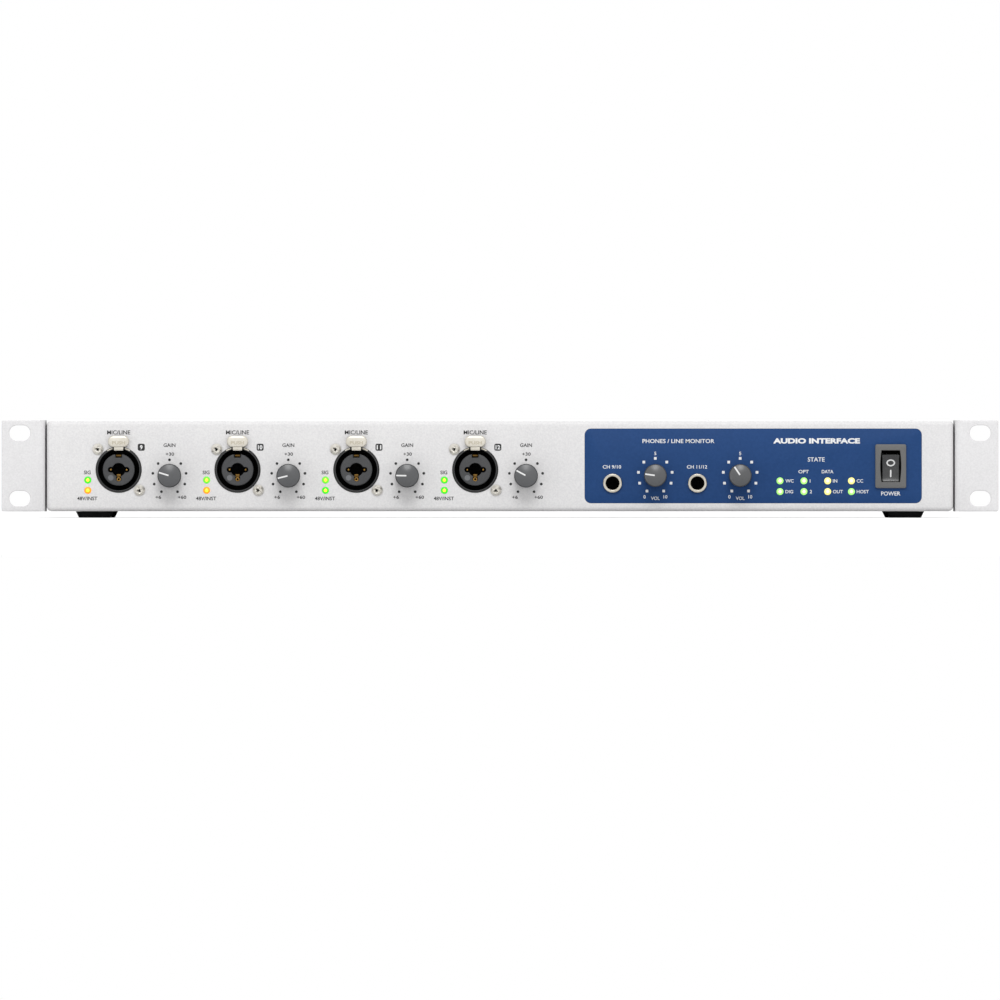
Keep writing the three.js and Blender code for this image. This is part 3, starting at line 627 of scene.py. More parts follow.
    def loft(self, loops: Sequence[Sequence[Sequence[float]]], skin: Skin,
        closed: bool = False) -> "Piece":
        """Add a body through loops of (u, v, w) points, capped or closed on itself."""
        made: list[bmesh.types.BMFace] = []
        rings = [[self.shells.verts.new(self.spot.at(*p)) for p in loop] for loop in loops]
        self._walls(rings + rings[:1] if closed else rings, made)
        if not closed:
            self._fill([rings[0]], made)
            self._fill([rings[-1]], made)
        self._close(made, skin)
        return self

    def tube(self, path: Sequence[Vector], radius: float, skin: Skin, count: int = 20) -> "Piece":
        """Add a round bar along a path of (u, v, w) points, with closed ends."""
        made: list[bmesh.types.BMFace] = []
        rings = []
        side = None
        for i, here in enumerate(path):
            along = (path[min(i + 1, len(path) - 1)] - path[max(i - 1, 0)]).normalized()
            if side is None:
                side = along.orthogonal().normalized()
            side = (side - along * side.dot(along)).normalized()
            other = along.cross(side)
            turns = [2 * math.pi * k / count for k in range(count)]
            ring = [here + side * radius * math.cos(t) + other * radius * math.sin(t)
                for t in turns]
            rings.append([self.shells.verts.new(self.spot.at(*point)) for point in ring])
        self._walls(rings, made)
        self._fill([rings[0]], made)
        self._fill([rings[-1]], made)
        self._close(made, skin)
        return self

    def bar(self, u: Pair, v: Pair, w: Pair, skin: Skin, edge: float = 0.0) -> "Piece":
        """Add a straight block, with its front edges rounded."""
        centre = ((u[0] + u[1]) / 2, (v[0] + v[1]) / 2)
        width, height = u[1] - u[0], v[1] - v[0]
        radius = min(width, height) * 0.12
        outline = rounded(width, height, radius, 3, centre)
        return self.sheet(outline, w, skin, edge=min(edge, radius * 0.95), steps=2)

    def finish(self, body: str, *replaced: str, slot: str | None = None) -> bpy.types.Object:
        """Make the object, ride it on its body and let it stand for CAD nodes.

        Args:
            body: The CAD body it moves with.
            replaced: CAD nodes that it stands for.
            slot: The record's material slot, where it stands for no node; not used.

        Returns:
            The finished object.
        """
        mesh = bpy.data.meshes.new(self.name)
        self.shells.to_mesh(mesh)
        self.shells.free()
        for skin in self.skins:
            mesh.materials.append(material_of(skin))
        return settle(self.name, mesh, body, replaced)


def settle(name: str, mesh: bpy.types.Mesh, body: str, replaced: Sequence[str] = ()) -> bpy.types.Object:
    """Link a finished mesh as a piece that rides on a body.

    Args:
        name: The piece's name.
        mesh: Its mesh, already in the unit's frame.
        body: The CAD body it moves with.
        replaced: CAD nodes that it stands for.

    Returns:
        The finished object.
    """
    mesh.set_sharp_from_angle(angle=SHARP_ANGLE)
    made = bpy.data.objects.new(name, mesh)
    bpy.context.scene.collection.objects.link(made)
    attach(made, body)
    if replaced:
        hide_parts(*replaced)
    LOG.info("%s: %d faces, rides on %s", name, len(mesh.polygons), body)
    return made


# --------------------------------------------------------------- geometry nodes


def new_group(name: str, sockets: dict[str, str]) -> bpy.types.NodeTree:
    """Make an empty tree with named inputs between its points and its seed and finish."""
    tree = bpy.data.node_groups.new(name, "GeometryNodeTree")
    kinds = {"Points": "Geometry", **sockets, "Seed": "Int", "Finish": "Material"}
    for label, kind in kinds.items():
        tree.interface.new_socket(label, in_out="INPUT", socket_type=f"NodeSocket{kind}")
    tree.interface.new_socket("Result", in_out="OUTPUT", socket_type="NodeSocketGeometry")
    return tree


def product(tree: bpy.types.NodeTree, value: Any, factor: float) -> bpy.types.NodeSocket:
    """Multiply a socket by a number."""
    return add_node(tree, "ShaderNodeMath", {"operation": "MULTIPLY"},
        {0: value, 1: factor}).outputs[0]


def triple(tree: bpy.types.NodeTree, **axes: Any) -> bpy.types.NodeSocket:
    """Join the given axes into a vector."""
    return add_node(tree, "ShaderNodeCombineXYZ", inputs=axes).outputs["Vector"]


def set_out(tree: bpy.types.NodeTree, given: Any, shape: Any, more: dict[str, Any]) -> None:
    """End a tree: copies on the points with a seeded turn, realised, with a finish."""
    turn = add_node(tree, "FunctionNodeRandomValue", {"data_type": "FLOAT"},
        {2: product(tree, given["Turn"], -1.0), 3: given["Turn"], "Seed": given["Seed"]})
    spread = add_node(tree, "GeometryNodeInstanceOnPoints", inputs={"Points": given["Points"],
        "Instance": shape, "Rotation": triple(tree, Y=turn.outputs[1]), **more})
    real = add_node(tree, "GeometryNodeRealizeInstances",
        inputs={"Geometry": spread.outputs["Instances"]})
    worn = add_node(tree, "GeometryNodeSetMaterial",
        inputs={"Geometry": real.outputs["Geometry"], "Material": given["Finish"]})
    add_node(tree, "NodeGroupOutput", inputs={0: worn.outputs["Geometry"]})


def grown(tree: bpy.types.NodeTree, name: str, points: Sequence[Vector], skin: Skin,
    values: dict[str, Any]) -> bpy.types.Mesh:
    """Run a tree on points.

    Args:
        tree: The geometry-node tree.
        name: Name of the copies.
        points: Places in metres.
        skin: The finish of every copy.
        values: The tree's other inputs, by name.

    Returns:
        One plain mesh of all the copies.
    """
    cloud = bpy.data.meshes.new(f"{name}_points")
    cloud.from_pydata([tuple(p) for p in points], [], [])
    carrier = bpy.data.objects.new(f"{name}_carrier", cloud)
    bpy.context.scene.collection.objects.link(carrier)
    modifier = carrier.modifiers.new("scatter", "NODES")
    modifier.node_group = tree
    values = {**values, "Finish": material_of(skin)}
    for item in tree.interface.items_tree:
        if item.name in values:
            modifier[item.identifier] = values[item.name]
    graph = bpy.context.evaluated_depsgraph_get()
    mesh = bpy.data.meshes.new_from_object(carrier.evaluated_get(graph))
    carrier.modifiers.clear()
    bpy.data.objects.remove(carrier)
    if not mesh.materials:
        mesh.materials.append(material_of(skin))
    return mesh


@dataclass
class Scatter:
    """A geometry-node tree that sets one shape on many points of a panel."""

    name: str
    tree: bpy.types.NodeTree = field(init=False)

    def __post_init__(self) -> None:
        """Build the tree from a shape's mesh."""
        kinds = {"Shape": "Object", "Size": "Float", "Turn": "Float"}
        self.tree = tree = new_group(self.name, kinds)
        given = add_node(tree, "NodeGroupInput").outputs
        shape = add_node(tree, "GeometryNodeObjectInfo", inputs={"Object": given["Shape"]})
        set_out(tree, given, shape.outputs["Geometry"], {"Scale": given["Size"]})

    def make(self, shape: Piece, points: Sequence[Vector], skin: Skin, turn: float = 0.0,
        seed: int = 3) -> bpy.types.Mesh:
        """Set a shape, drawn about the frame's origin, on points in metres.

        Args:
            shape: The shape.
            points: The places.
            skin: The finish of every copy.
            turn: Largest random turn about the panel's normal, in radians.
            seed: Seed of the random turns.

        Returns:
            One plain mesh of all the copies.
        """
        pattern = bpy.data.meshes.new(shape.name)
        shape.shells.to_mesh(pattern)
        shape.shells.free()
        stamp = bpy.data.objects.new(shape.name, pattern)
        values = {"Shape": stamp, "Size": 1.0, "Turn": turn, "Seed": seed}
        mesh = grown(self.tree, shape.name, points, skin, values)
        bpy.data.objects.remove(stamp)
        return mesh


@dataclass
class ScrewMaker:
    """A geometry-node tree that makes cross-recessed screws on points."""

    crown: float = 0.62
    slot_lift: float = 0.62
    tall: float = 0.36
    slot: Pair = (1.2, 0.36)
    tree: bpy.types.NodeTree = field(init=False)

    def __post_init__(self) -> None:
        """Build the tree: domed head, cross cut out of it, copied to the points."""
        names = ("Radius", "Height", "Slot width", "Slot length", "Tip", "Turn")
        self.tree = tree = new_group("cross_recessed_screws", dict.fromkeys(names, "Float"))
        given = add_node(tree, "NodeGroupInput").outputs
        radius, height = given["Radius"], given["Height"]
        head = add_node(tree, "GeometryNodeMeshCone", inputs={"Vertices": 32, "Side Segments": 1,
            "Radius Top": product(tree, radius, self.crown), "Radius Bottom": radius,
            "Depth": height}).outputs["Mesh"]
        cut = add_node(tree, "GeometryNodeMeshBoolean", {"operation": "DIFFERENCE"},
            {"Mesh 1": head})
        raised = triple(tree, Z=product(tree, height, self.slot_lift))
        for x, y in (("Slot length", "Slot width"), ("Slot width", "Slot length")):
            size = triple(tree, X=given[x], Y=given[y], Z=height)
            arm = add_node(tree, "GeometryNodeMeshCube", inputs={"Size": size})
            placed = add_node(tree, "GeometryNodeTransform",
                inputs={"Geometry": arm.outputs["Mesh"], "Translation": raised})
            tree.links.new(placed.outputs["Geometry"], cut.inputs["Mesh 2"])
        faced = add_node(tree, "GeometryNodeTransform", inputs={
            "Geometry": cut.outputs["Mesh"], "Rotation": triple(tree, X=given["Tip"])})
        set_out(tree, given, faced.outputs["Geometry"], {})

    def make(self, name: str, points: Sequence[Vector], skin: Skin, radius: float, tip: float,
        seed: int, turn: float = math.pi / 4) -> bpy.types.Mesh:
        """Make screws on points in metres, which lie under the middle of each head.

        Args:
            name: Name of the mesh.
            points: The places.
            skin: Their finish.
            radius: Head radius in millimetres.
            tip: Turn about X that faces the heads outwards, in radians.
            seed: Seed of the random turns.
            turn: Largest turn about the panel's normal.

        Returns:
            One plain mesh of all the screws.
        """
        size = radius * MM
        mesh = grown(self.tree, name, points, skin, {"Radius": size, "Height": self.tall * size,
            "Slot length": self.slot[0] * size, "Slot width": self.slot[1] * size, "Tip": tip,
            "Turn": turn, "Seed": seed})
        for face in mesh.polygons:
            face.use_smooth = False
        return mesh


# --------------------------------------------------------------------- legends


@dataclass
class Legend:
    """Printed words and marks of one panel, in one ink."""

    name: str
    side: Side
    ink: Skin
    proud: float = 0.03
    weight: float = 0.06
    shells: bmesh.types.BMesh = field(default_factory=bmesh.new)

    def word(self, text: str, x: float, z: float, cap: float, width: float | None = None,
        upright: int = 0, align: str = "CENTER", bold: float = 0.0) -> None:
        """Print one word or line.

        Args:
            text: The letters.
            x: Where its middle, or its start, is along X.
            z: Height of its middle.
            cap: Letter height in millimetres.
            width: Total width, where it is stretched to one.
            upright: 1 to read upwards, -1 to read downwards, 0 to read across.
            align: CENTER or LEFT.
            bold: Extra stroke width in millimetres.
        """
        curve = bpy.data.curves.new("word", "FONT")
        curve.body = text
        curve.size = 1.0
        curve.offset = (self.weight + bold) / max(cap, 0.1) * 0.35
        curve.resolution_u = 3
        carrier = bpy.data.objects.new("word", curve)
        bpy.context.scene.collection.objects.link(carrier)
        bpy.context.view_layer.update()
        graph = bpy.context.evaluated_depsgraph_get()
        mesh = bpy.data.meshes.new_from_object(carrier.evaluated_get(graph))
        bpy.data.objects.remove(carrier)
        if not mesh.vertices:
            return
        us = [p.co.x for p in mesh.vertices]
        low, high = min(us), max(us)
        rise = cap / 0.7
        stretch = width / (high - low) if width else rise * 1.04
        start = (low + high) / 2 if align == "CENTER" else low
        place = spot(self.side, x, z)
        for p in mesh.vertices:
            u, v = (p.co.x - start) * stretch, (p.co.y - 0.35) * rise
            if upright:
                u, v = -v * upright, u * upright
            p.co = place.at(u, v, self.proud)
        self.shells.from_mesh(mesh)
        bpy.data.meshes.remove(mesh)

    def patch(self, outline: Outline, x: float, z: float) -> None:
        """Print a filled shape."""
        place = spot(self.side, x, z)
        corners = [self.shells.verts.new(place.at(u, v, self.proud)) for u, v in outline]
        self.shells.faces.new(corners)

    def border(self, width: float, height: float, line: float, x: float, z: float) -> None:
        """Print a rectangle's outline."""
        place = spot(self.side, x, z)
        outer = rounded(width, height, 0.6, 3)
        inner = inset(outer, line)
        rings = [[self.shells.verts.new(place.at(u, v, self.proud)) for u, v in ring]
            for ring in (outer, inner)]
        for i in range(len(outer)):
            j = (i + 1) % len(outer)
            self.shells.faces.new((rings[0][i], rings[0][j], rings[1][j], rings[1][i]))

    def finish(self, body: str, slot: str) -> bpy.types.Object:
        """Make one object of everything printed, facing out of the panel."""
        outwards = -self.side.value
        self.shells.normal_update()
        for face in self.shells.faces:
            if face.normal.y * outwards < 0:
                face.normal_flip()
        mesh = bpy.data.meshes.new(self.name)
        self.shells.to_mesh(mesh)
        self.shells.free()
        mesh.materials.clear()
        mesh.materials.append(material_of(self.ink))
        for face in mesh.polygons:
            face.material_index = 0
        return settle(self.name, mesh, body, ())


# -------------------------------------------------------------------- enclosure


@dataclass
class Enclosure:
    """Front and rear panels, blue inlay, lid, rails, rack ears and feet."""

    panel: tuple[float, float, float] = (439.0, 44.0, 25.1)
    inlay: tuple[float, float, float, float] = (122.6, 25.05, 163.2, 36.1)
    front_edge: float = 2.3
    ear_bend: float = 2.2
    slot_x: float = 232.55
    slot_size: Pair = (10.1, 7.5)
    slot_rise: float = 15.875

    def build(self) -> None:
        """Make every part of the enclosure."""
        self.front_panel()
        self.front_inlay()
        self.rear_panel()
        self.lid()
        for side, name in ((1, "right"), (-1, "left")):
            self.rail(side, name)
            self.ear(side, name)
        for i in range(1, 5):
            self.foot(i)

    def front_panel(self) -> None:
        """Make the thick light panel with its rolled edges and openings."""
        width, height, middle = self.panel
        x, z, inlay_width, inlay_height = self.inlay
        holes = [rounded(inlay_width + 0.12, inlay_height + 0.12, 3.1, 6, (x, z - middle))]
        for cx in Layout.channels:
            rise = Layout.channel_z - middle
            holes.append([(cx + u, rise + v) for u, v in keyed(11.2, 2.9, 11.9)])
            holes.append(circle(3.5, 24, (cx + Layout.gain_dx, Layout.gain_z - middle)))
            for light_z in Layout.channel_light_z:
                holes.append(circle(1.75, 20, (cx + Layout.channel_light_dx, light_z - middle)))
        Piece("front_panel_sheet", spot(Side.FRONT, 0, middle)).sheet(
            rounded(width, height, 2.5, 7), (-3, 0), Skin.PANEL, holes, self.front_edge, 8).finish(
            "chassis", "front_panel")

    def front_inlay(self) -> None:
        """Make the blue sheet that fills the window of the panel."""
        x, z, width, height = self.inlay
        holes = [circle(3.5, 24, (cx - x, Layout.volume_z - z)) for cx in Layout.volumes]
        holes += [circle(4.4, 32, (cx - x, Layout.phones_z - z)) for cx in Layout.phones]
        holes += [circle(1.75, 20, (cx - x, cz - z)) for cx in Layout.state_x
            for cz in Layout.state_z]
        holes.append(rounded(13.2, 19.5, 0.8, 3, (Layout.switch[0] - x, Layout.switch[1] - z)))
        Piece("front_inlay_sheet", spot(Side.FRONT, x, z)).sheet(rounded(width, height, 3.0, 7),
            (-1.5, -0.02), Skin.BLUE, holes, 0.12, 2).finish("chassis", "front_inlay")

    def rear_panel(self) -> None:
        """Make the dark rear sheet, a painted highlight line along its top edge and the relief slots in
        its corners.
        """
        node = Node.of("rear_panel")
        width, height = node.hi.x - node.lo.x, node.hi.z - node.lo.z
        middle = node.mid.z
        outline = rounded(width, height, 0.5, 3)
        half = width / 2
        slots = [rounded(w, h, 0.2, 2, (side * (half - u), z - middle)) for side in (1, -1)
            for u, z, w, h in ((1.9, 4.95, 3.2, 0.9), (5.3, 4.0, 3.6, 0.75))]
        holes = list(slots)
        for x, z, shape in Layout.rear_holes():
            holes.append([(u - x, v + z - middle) for u, v in shape])
        piece = Piece("rear_panel_sheet", spot(Side.REAR, 0, middle))
        piece.sheet(outline, (-1.5, 0), Skin.DARK_GREY, holes, 0.15, 2)
        for slot in slots:
            # Painted shade: a near-black sheet fills the back of each slot, for the dark inside of the
            # case.
            piece.sheet(inset(slot, 0.01), (-1.5, -1.0), Skin.THROAT)
        top = node.hi.z - middle
        # Painted highlight: a near-white bar on the panel's top edge, where the bend catches the light.
        piece.bar((-half, half), (top + 0.1, top + 0.85), (-1.4, 0.1), Skin.SEAM, 0.2)
        piece.finish("chassis", "rear_panel")

    def lid(self) -> None:
        """Make the black lid, its folded rear lip and its two side flanges."""
        node = Node.of("top_cover")
        size = node.hi - node.lo
        piece = Piece("lid_sheet", Spot(Side.TOP, node.mid.x, 0, node.mid.y))
        piece.sheet(rounded(size.x, size.y, 1.2, 4), (node.hi.z - 1.4, node.hi.z),
            Skin.BLACK_SHEET, (), 0.5)
        for side in (1, -1):
            middle = side * (size.x / 2 - 2.2)
            flange = rounded(1.2, size.y - 4.5, 0.2, 2, (middle, -1.2))
            piece.sheet(flange, (node.lo.z, node.hi.z - 1.41), Skin.BLACK_SHEET)
        lip = rounded(size.x - 3, 1.0, 0.2, 2, (0, size.y / 2 - 0.8))
        piece.sheet(lip, (node.hi.z - 2.0, node.hi.z - 1.41), Skin.BLACK_SHEET)
        piece.finish("chassis", "top_cover")

    def rail(self, side: int, name: str) -> None:
        """Make one side rail with fully rounded long edges and ends."""
        node = Node.of(f"side_rail_{name}")
        size = node.hi - node.lo
        radius = size.x / 2
        base = rounded(size.y, size.z, radius + 0.1, 6)
        loops = []
        for i in range(13):
            a = math.pi * i / 12
            ring = inset(base, radius * (1 - math.sin(a)))
            across = node.mid.x - radius * math.cos(a)
            loops.append([(across, node.mid.y + y, node.mid.z + z) for y, z in ring])
        Piece(f"side_rail_bar_{name}", ABOVE).loft(loops, Skin.RAIL).finish("chassis",
            f"side_rail_{name}")

    def ear(self, side: int, name: str) -> None:
        """Make one rack ear: slotted flange, bend and leg behind the panel."""
        node = Node.of(f"rack_ear_{name}")
        middle, height = node.mid.z, node.hi.z - node.lo.z
        inner = min(abs(node.lo.x), abs(node.hi.x))
        outer = max(abs(node.lo.x), abs(node.hi.x))
        start = inner + self.ear_bend
        width = outer - start
        centre = (start + outer) / 2
        flange = rounded(width, height, 0.9, 4, (centre, 0))
        holes = [rounded(*self.slot_size, 3.6, 8, (self.slot_x, s * self.slot_rise))
            for s in (1, -1)]
        edge = start
        if side < 0:
            flange, holes, edge = mirrored(flange), [mirrored(h) for h in holes], -start
        piece = Piece(f"rack_ear_bracket_{name}", spot(Side.FRONT, 0, middle))
        piece.sheet(flange, (-2.5, 0), Skin.EAR, holes, 0.55, 3, 0.25, edge)
        arc = [math.pi * (1 + i / 12) for i in range(7)]
        r = self.ear_bend
        bend = [(start + r * math.cos(a), FRONT_FACE + r * (1 + math.sin(a))) for a in arc]
        back = FRONT_FACE + 2.5
        leg_end = node.hi.y
        profile = bend + [(start, back), (inner + 2.5, back), (inner + 2.5, leg_end)]
        profile.append((inner, leg_end))
        leg = [(side * x, y) for x, y in profile]
        loops = [[(x, y, z) for x, y in leg] for z in (node.lo.z, node.hi.z)]
        riser = Piece("bend", ABOVE).loft(loops, Skin.EAR)
        extra = bpy.data.meshes.new("bend")
        riser.shells.to_mesh(extra)
        riser.shells.free()
        piece.shells.from_mesh(extra)
        piece.finish("chassis", f"rack_ear_{name}")

    def foot(self, index: int) -> None:
        """Make one rubber foot, tapered towards the floor with rolled edges."""
        node = Node.of(f"foot_{index}")
        top = node.hi.x - node.lo.x
        rise = node.hi.z
        loops = []
        for width, z in ((top - 4.2, 0.0), (top - 3.0, 0.08), (top - 2.5, 0.45), (top, rise)):
            ring = rounded(width, width, 1.6, 5)
            loops.append([(node.mid.x + u, node.mid.y + v, z) for u, v in ring])
        Piece(f"foot_rubber_{index}", ABOVE).loft(loops, Skin.RUBBER).finish("chassis",
            f"foot_{index}")


def middle_of(name: str) -> Pair:
    """Give X and Z of the middle of a CAD node."""
    middle = Node.of(name).mid
    return (middle.x, middle.z)


class Layout:
    """Places of everything on the two panels, read from the frame, in millimetres."""

    channels = [Node.of(f"combo_socket_{i}").mid.x for i in range(1, 5)]
    channel_z = 23.2
    gain_z = Node.of("gain_knob_1").mid.z
    gain_dx = Node.of("gain_knob_1").mid.x - channels[0]
    channel_light_dx = Node.of("channel_lights_1").mid.x - channels[0]
    channel_light_z = (18.2, 13.2)
    volumes = [Node.of(f"volume_knob_{i}").mid.x for i in (1, 2)]
    volume_z = Node.of("volume_knob_1").mid.z
    phones = [Node.of(f"phones_jack_{i}").mid.x for i in (1, 2)]
    phones_z = Node.of("phones_jack_1").mid.z
    state_x = (135.6, 147.2, 158.7, 170.2)
    state_z = (17.8, 12.6)
    switch = middle_of("switch_housing")
    inlet = middle_of("mains_inlet")
    data = [Node.of(f"data_socket_{i}").mid.x for i in (1, 2)]
    data_z = Node.of("data_socket_1").mid.z
    mode = middle_of("mode_button")
    host = middle_of("host_port")
    remote = middle_of("remote_port")
    clocks = [Node.of(f"clock_socket_{i}").mid.x for i in (1, 2)]
    clock_z = 17.3
    optical = [Node.of(f"optical_shutter_{i}").mid.x for i in range(1, 5)]
    optical_z = Node.of("optical_shutter_1").mid.z
    digital_out = (Node.of("digital_out_socket").mid.x, 23.0)
    digital_in = (Node.of("digital_in_socket").mid.x, 22.9)
    line_out_x = (-74.75, -90.7, -106.7, -122.8)
    line_in_x = (-149.3, -165.3, -181.3, -197.2)
    line_z = (33.5, 17.1)

    @classmethod
    def line_points(cls, xs: Sequence[float]) -> list[Pair]:
        """Give the places of one bank of jacks."""
        return [(x, z) for x in xs for z in cls.line_z]

    @classmethod
    def rear_holes(cls) -> list[tuple[float, float, Outline]]:
        """Give the cut-outs of the rear panel as X, Z and outline."""
        holes = [(*cls.inlet, rounded(28.8, 21.0, 1.5, 3)),
            (*cls.mode, rounded(4.5, 4.5, 0.3, 2)), (*cls.host, rounded(12.5, 11.1, 0.5, 2)),
            (*cls.remote, rounded(7.2, 15.0, 0.3, 2)), (*cls.digital_out, circle(11.2, 44)),
            (*cls.digital_in, keyed(11.2, 2.9, 11.9))]
        holes += [(x, cls.data_z, circle(7.8, 40)) for x in cls.data]
        holes += [(x, cls.clock_z, circle(5.1, 32)) for x in cls.clocks]
        holes += [(x, cls.optical_z, rounded(10.6, 9.9, 0.4, 2)) for x in cls.optical]
        points = cls.line_points(cls.line_out_x) + cls.line_points(cls.line_in_x)
        holes += [(x, z, circle(4.8, 28)) for x, z in points]
        return holes


# -------------------------------------------------------------- front controls


@dataclass
class ReleaseTab:
    """The sprung tab above a socket: rounded plate, neck and shank."""

    size: tuple[float, float, float] = (10.3, 5.5, 2.65)
    rise: float = 13.65
    proud: Pair = (2.0, 3.9)

    def build(self, place: Spot, name: str, node: str) -> None:
        """Make the tab on the body of its CAD node."""
        width, height, radius = self.size
        piece = Piece(name, place)
        plate = rounded(width, height, radius, 7, (0, self.rise))
        piece.sheet(plate, self.proud, Skin.SATIN_NICKEL, edge=0.75, steps=4)
        piece.bar((-2.3, 2.3), (9.7, 11.4), (2.0, 3.3), Skin.SATIN_NICKEL, 0.3)
        piece.bar((-2.2, 2.2), (9.3, 10.5), (-5, 3.1), Skin.SATIN_NICKEL, 0.2)
        piece.finish(node, node)
        side = place.side
        # The word is painted shade of pressed letters, laid just proud of the plate.
        word = Legend(f"{name}_word", side, Skin.LETTER_PRESS_SHADE, self.proud[1] + 0.02)
        word.word("PUSH", place.x, place.z + self.rise - 0.6, 1.5, 6.4, bold=0.1)
        word.finish(node, "nickel")


@dataclass
class SocketParts:
    """Rings and inserts shared by the round three-pole sockets."""

    flange: float = 11.05
    channel: float = 10.0
    floor: float = -15.0

    def ring(self, piece: Piece, front: float = 0.45) -> None:
        """Add the black ring that is open under the tab, with its bright wedges."""
        wall = sector(self.channel, self.flange, 105.5, 434.5)
        piece.sheet(wall, (self.floor, front), Skin.BLACK_NYLON, edge=0.3)
        # A thin grey band standing just proud on the ring's inner lip: painted highlight where that edge
        # catches the light.
        piece.sheet(sector(10.18, 10.42, 106, 434), (front - 0.2, front + 0.08), Skin.INSERT,
            edge=0.05)
        for start, end in ((106, 121), (59, 74)):
            piece.sheet(sector(10.4, 10.98, start, end, 8), (front - 0.2, front + 0.16),
                Skin.NICKEL, edge=0.1)
        piece.sheet(circle(self.channel + 0.4), (self.floor - 1, self.floor), Skin.THROAT)


@dataclass
class ComboSocket:
    """Socket for a three-pole plug round a central jack hole."""

    index: int
    core: float = 7.8
    core_front: float = -0.6
    hole: float = 3.25
    contact: float = 1.3

    def build(self) -> None:
        """Make the socket and its tab."""
        place = spot(Side.FRONT, Layout.channels[self.index - 1], Layout.channel_z)
        piece = Piece(f"combo_socket_body_{self.index}", place)
        SocketParts().ring(piece)
        self.insert(piece)
        piece.finish("chassis", f"combo_socket_{self.index}")
        name = f"combo_latch_{self.index}"
        ReleaseTab().build(place, f"combo_tab_{self.index}", name)

    def insert(self, piece: Piece) -> None:
        """Add the core with its clover-shaped hole and gold contacts."""
        lobes = [(self.hole, 0, 0)]
        lobes += [(self.contact, u, v) for u, v in ((-3.9, 0), (3.9, 0), (0, -4.35))]
        piece.sheet(keyed(self.core, 1.5, 5.9), (-15, self.core_front), Skin.INSERT,
            [star(lobes)], 0.45, 3, 0.15)
        for side in (-1, 1):
            piece.turned([(0, -1.6), (0.35, -1.7), (0.62, -2.2), (0.62, -12), (0, -12)], Skin.GOLD,
                (side * 3.85, 0), 16)
        # Lower contact block: gold painted darker as shade.
        piece.bar((-1.0, 1.0), (-3.6, -2.2), (-12, -1.8), Skin.BRASS_AND_SHADED_GOLD, 0.2)
        piece.turned([(0.55, -12), (0.95, -12), (0.95, -1.3), (0.55, -1.3)], Skin.GOLD, (0, -4.6),
            20)
        piece.bar((-1.2, 1.2), (6.5, 7.3), (-8, -1.3), Skin.BRASS_AND_SHADED_GOLD, 0.2)
        mark = [(0, -0.55), (1.35, -0.55), (1.35, -0.75), (0, -0.75)]
        piece.turned(mark, Skin.MARK, (-3.8, -3.9), 24)


@dataclass
class Knob:
    """Turned knob with a domed face, a skirt painted dark as shade, and a white pointer."""

    name: str
    node: str
    x: float
    z: float
    radius: float
    degrees: float
    height: float = 12.95
    dome: float = 1.3

    def crown(self, r: float) -> float:
        """Give the height of the domed face at a radius."""
        return self.height - self.dome * (r / self.radius) ** 2

    def build(self) -> None:
        """Make the knob on its own body."""
        place = spot(Side.FRONT, self.x, self.z)
        piece = Piece(self.name, place)
        face = self.radius - 0.4
        profile = [(0, self.crown(0))]
        profile += [(face * i / 10, self.crown(face * i / 10)) for i in range(1, 11)]
        profile += [(face, self.height - 2.2), (0, self.height - 2.2)]
        piece.turned(profile, Skin.KNOB, count=64)
        rim = self.crown(face) - 0.12
        # The skirt wears painted shade: a dark finish for the rim that turns away from the light.
        skirt = [(face - 0.02, rim - 1.5), (face - 0.02, rim), (self.radius - 0.08, rim - 0.22),
            (self.radius, rim - 0.7), (self.radius, 1.1), (self.radius - 0.35, 0.75), (2.9, 0.75),
            (2.9, rim - 1.5)]
        piece.turned(skirt, Skin.KNOB_SKIRT_SHADE, count=64)
        piece.turned([(0, 2), (3.0, 2), (3.0, -18.2), (0, -18.2)], Skin.ZINC, count=32)
        self.pointer(piece)
        piece.finish(self.node, self.node)

    def pointer(self, piece: Piece) -> None:
        """Add the pointer, which follows the dome."""
        turn = math.radians(self.degrees)
        along = Vector((math.sin(turn), math.cos(turn)))
        across = Vector((along.y, -along.x)) * 0.36
        loops = []
        for i in range(9):
            r = 0.35 + (self.radius - 0.85) * i / 8
            mid, top = along * r, self.crown(r) + 0.05
            left, right = mid - across, mid + across
            loops.append([(left.x, left.y, top), (right.x, right.y, top),
                (right.x, right.y, top - 0.5), (left.x, left.y, top - 0.5)])
        piece.loft(loops, Skin.POINTER)


@dataclass
class LightGuide:
    """One indicator: a domed ring of colour round a hotter core."""

    x: float
    z: float
    shell: Skin
    core: Skin
    radius: float = 1.65

    def build(self, piece: Piece) -> None:
        """Add the guide to a piece drawn about the panel's origin."""
        r = self.radius
        piece.turned(
            [(0, 0.42), (r * 0.5, 0.38), (r * 0.82, 0.2), (r, -0.1), (r, -28), (0, -28)],
            self.shell, (self.x, self.z), 24)
        piece.turned(
            [(0, 0.56), (r * 0.28, 0.53), (r * 0.46, 0.38), (r * 0.46, 0.1), (0, 0.1)], self.core,
            (self.x, self.z), 20)


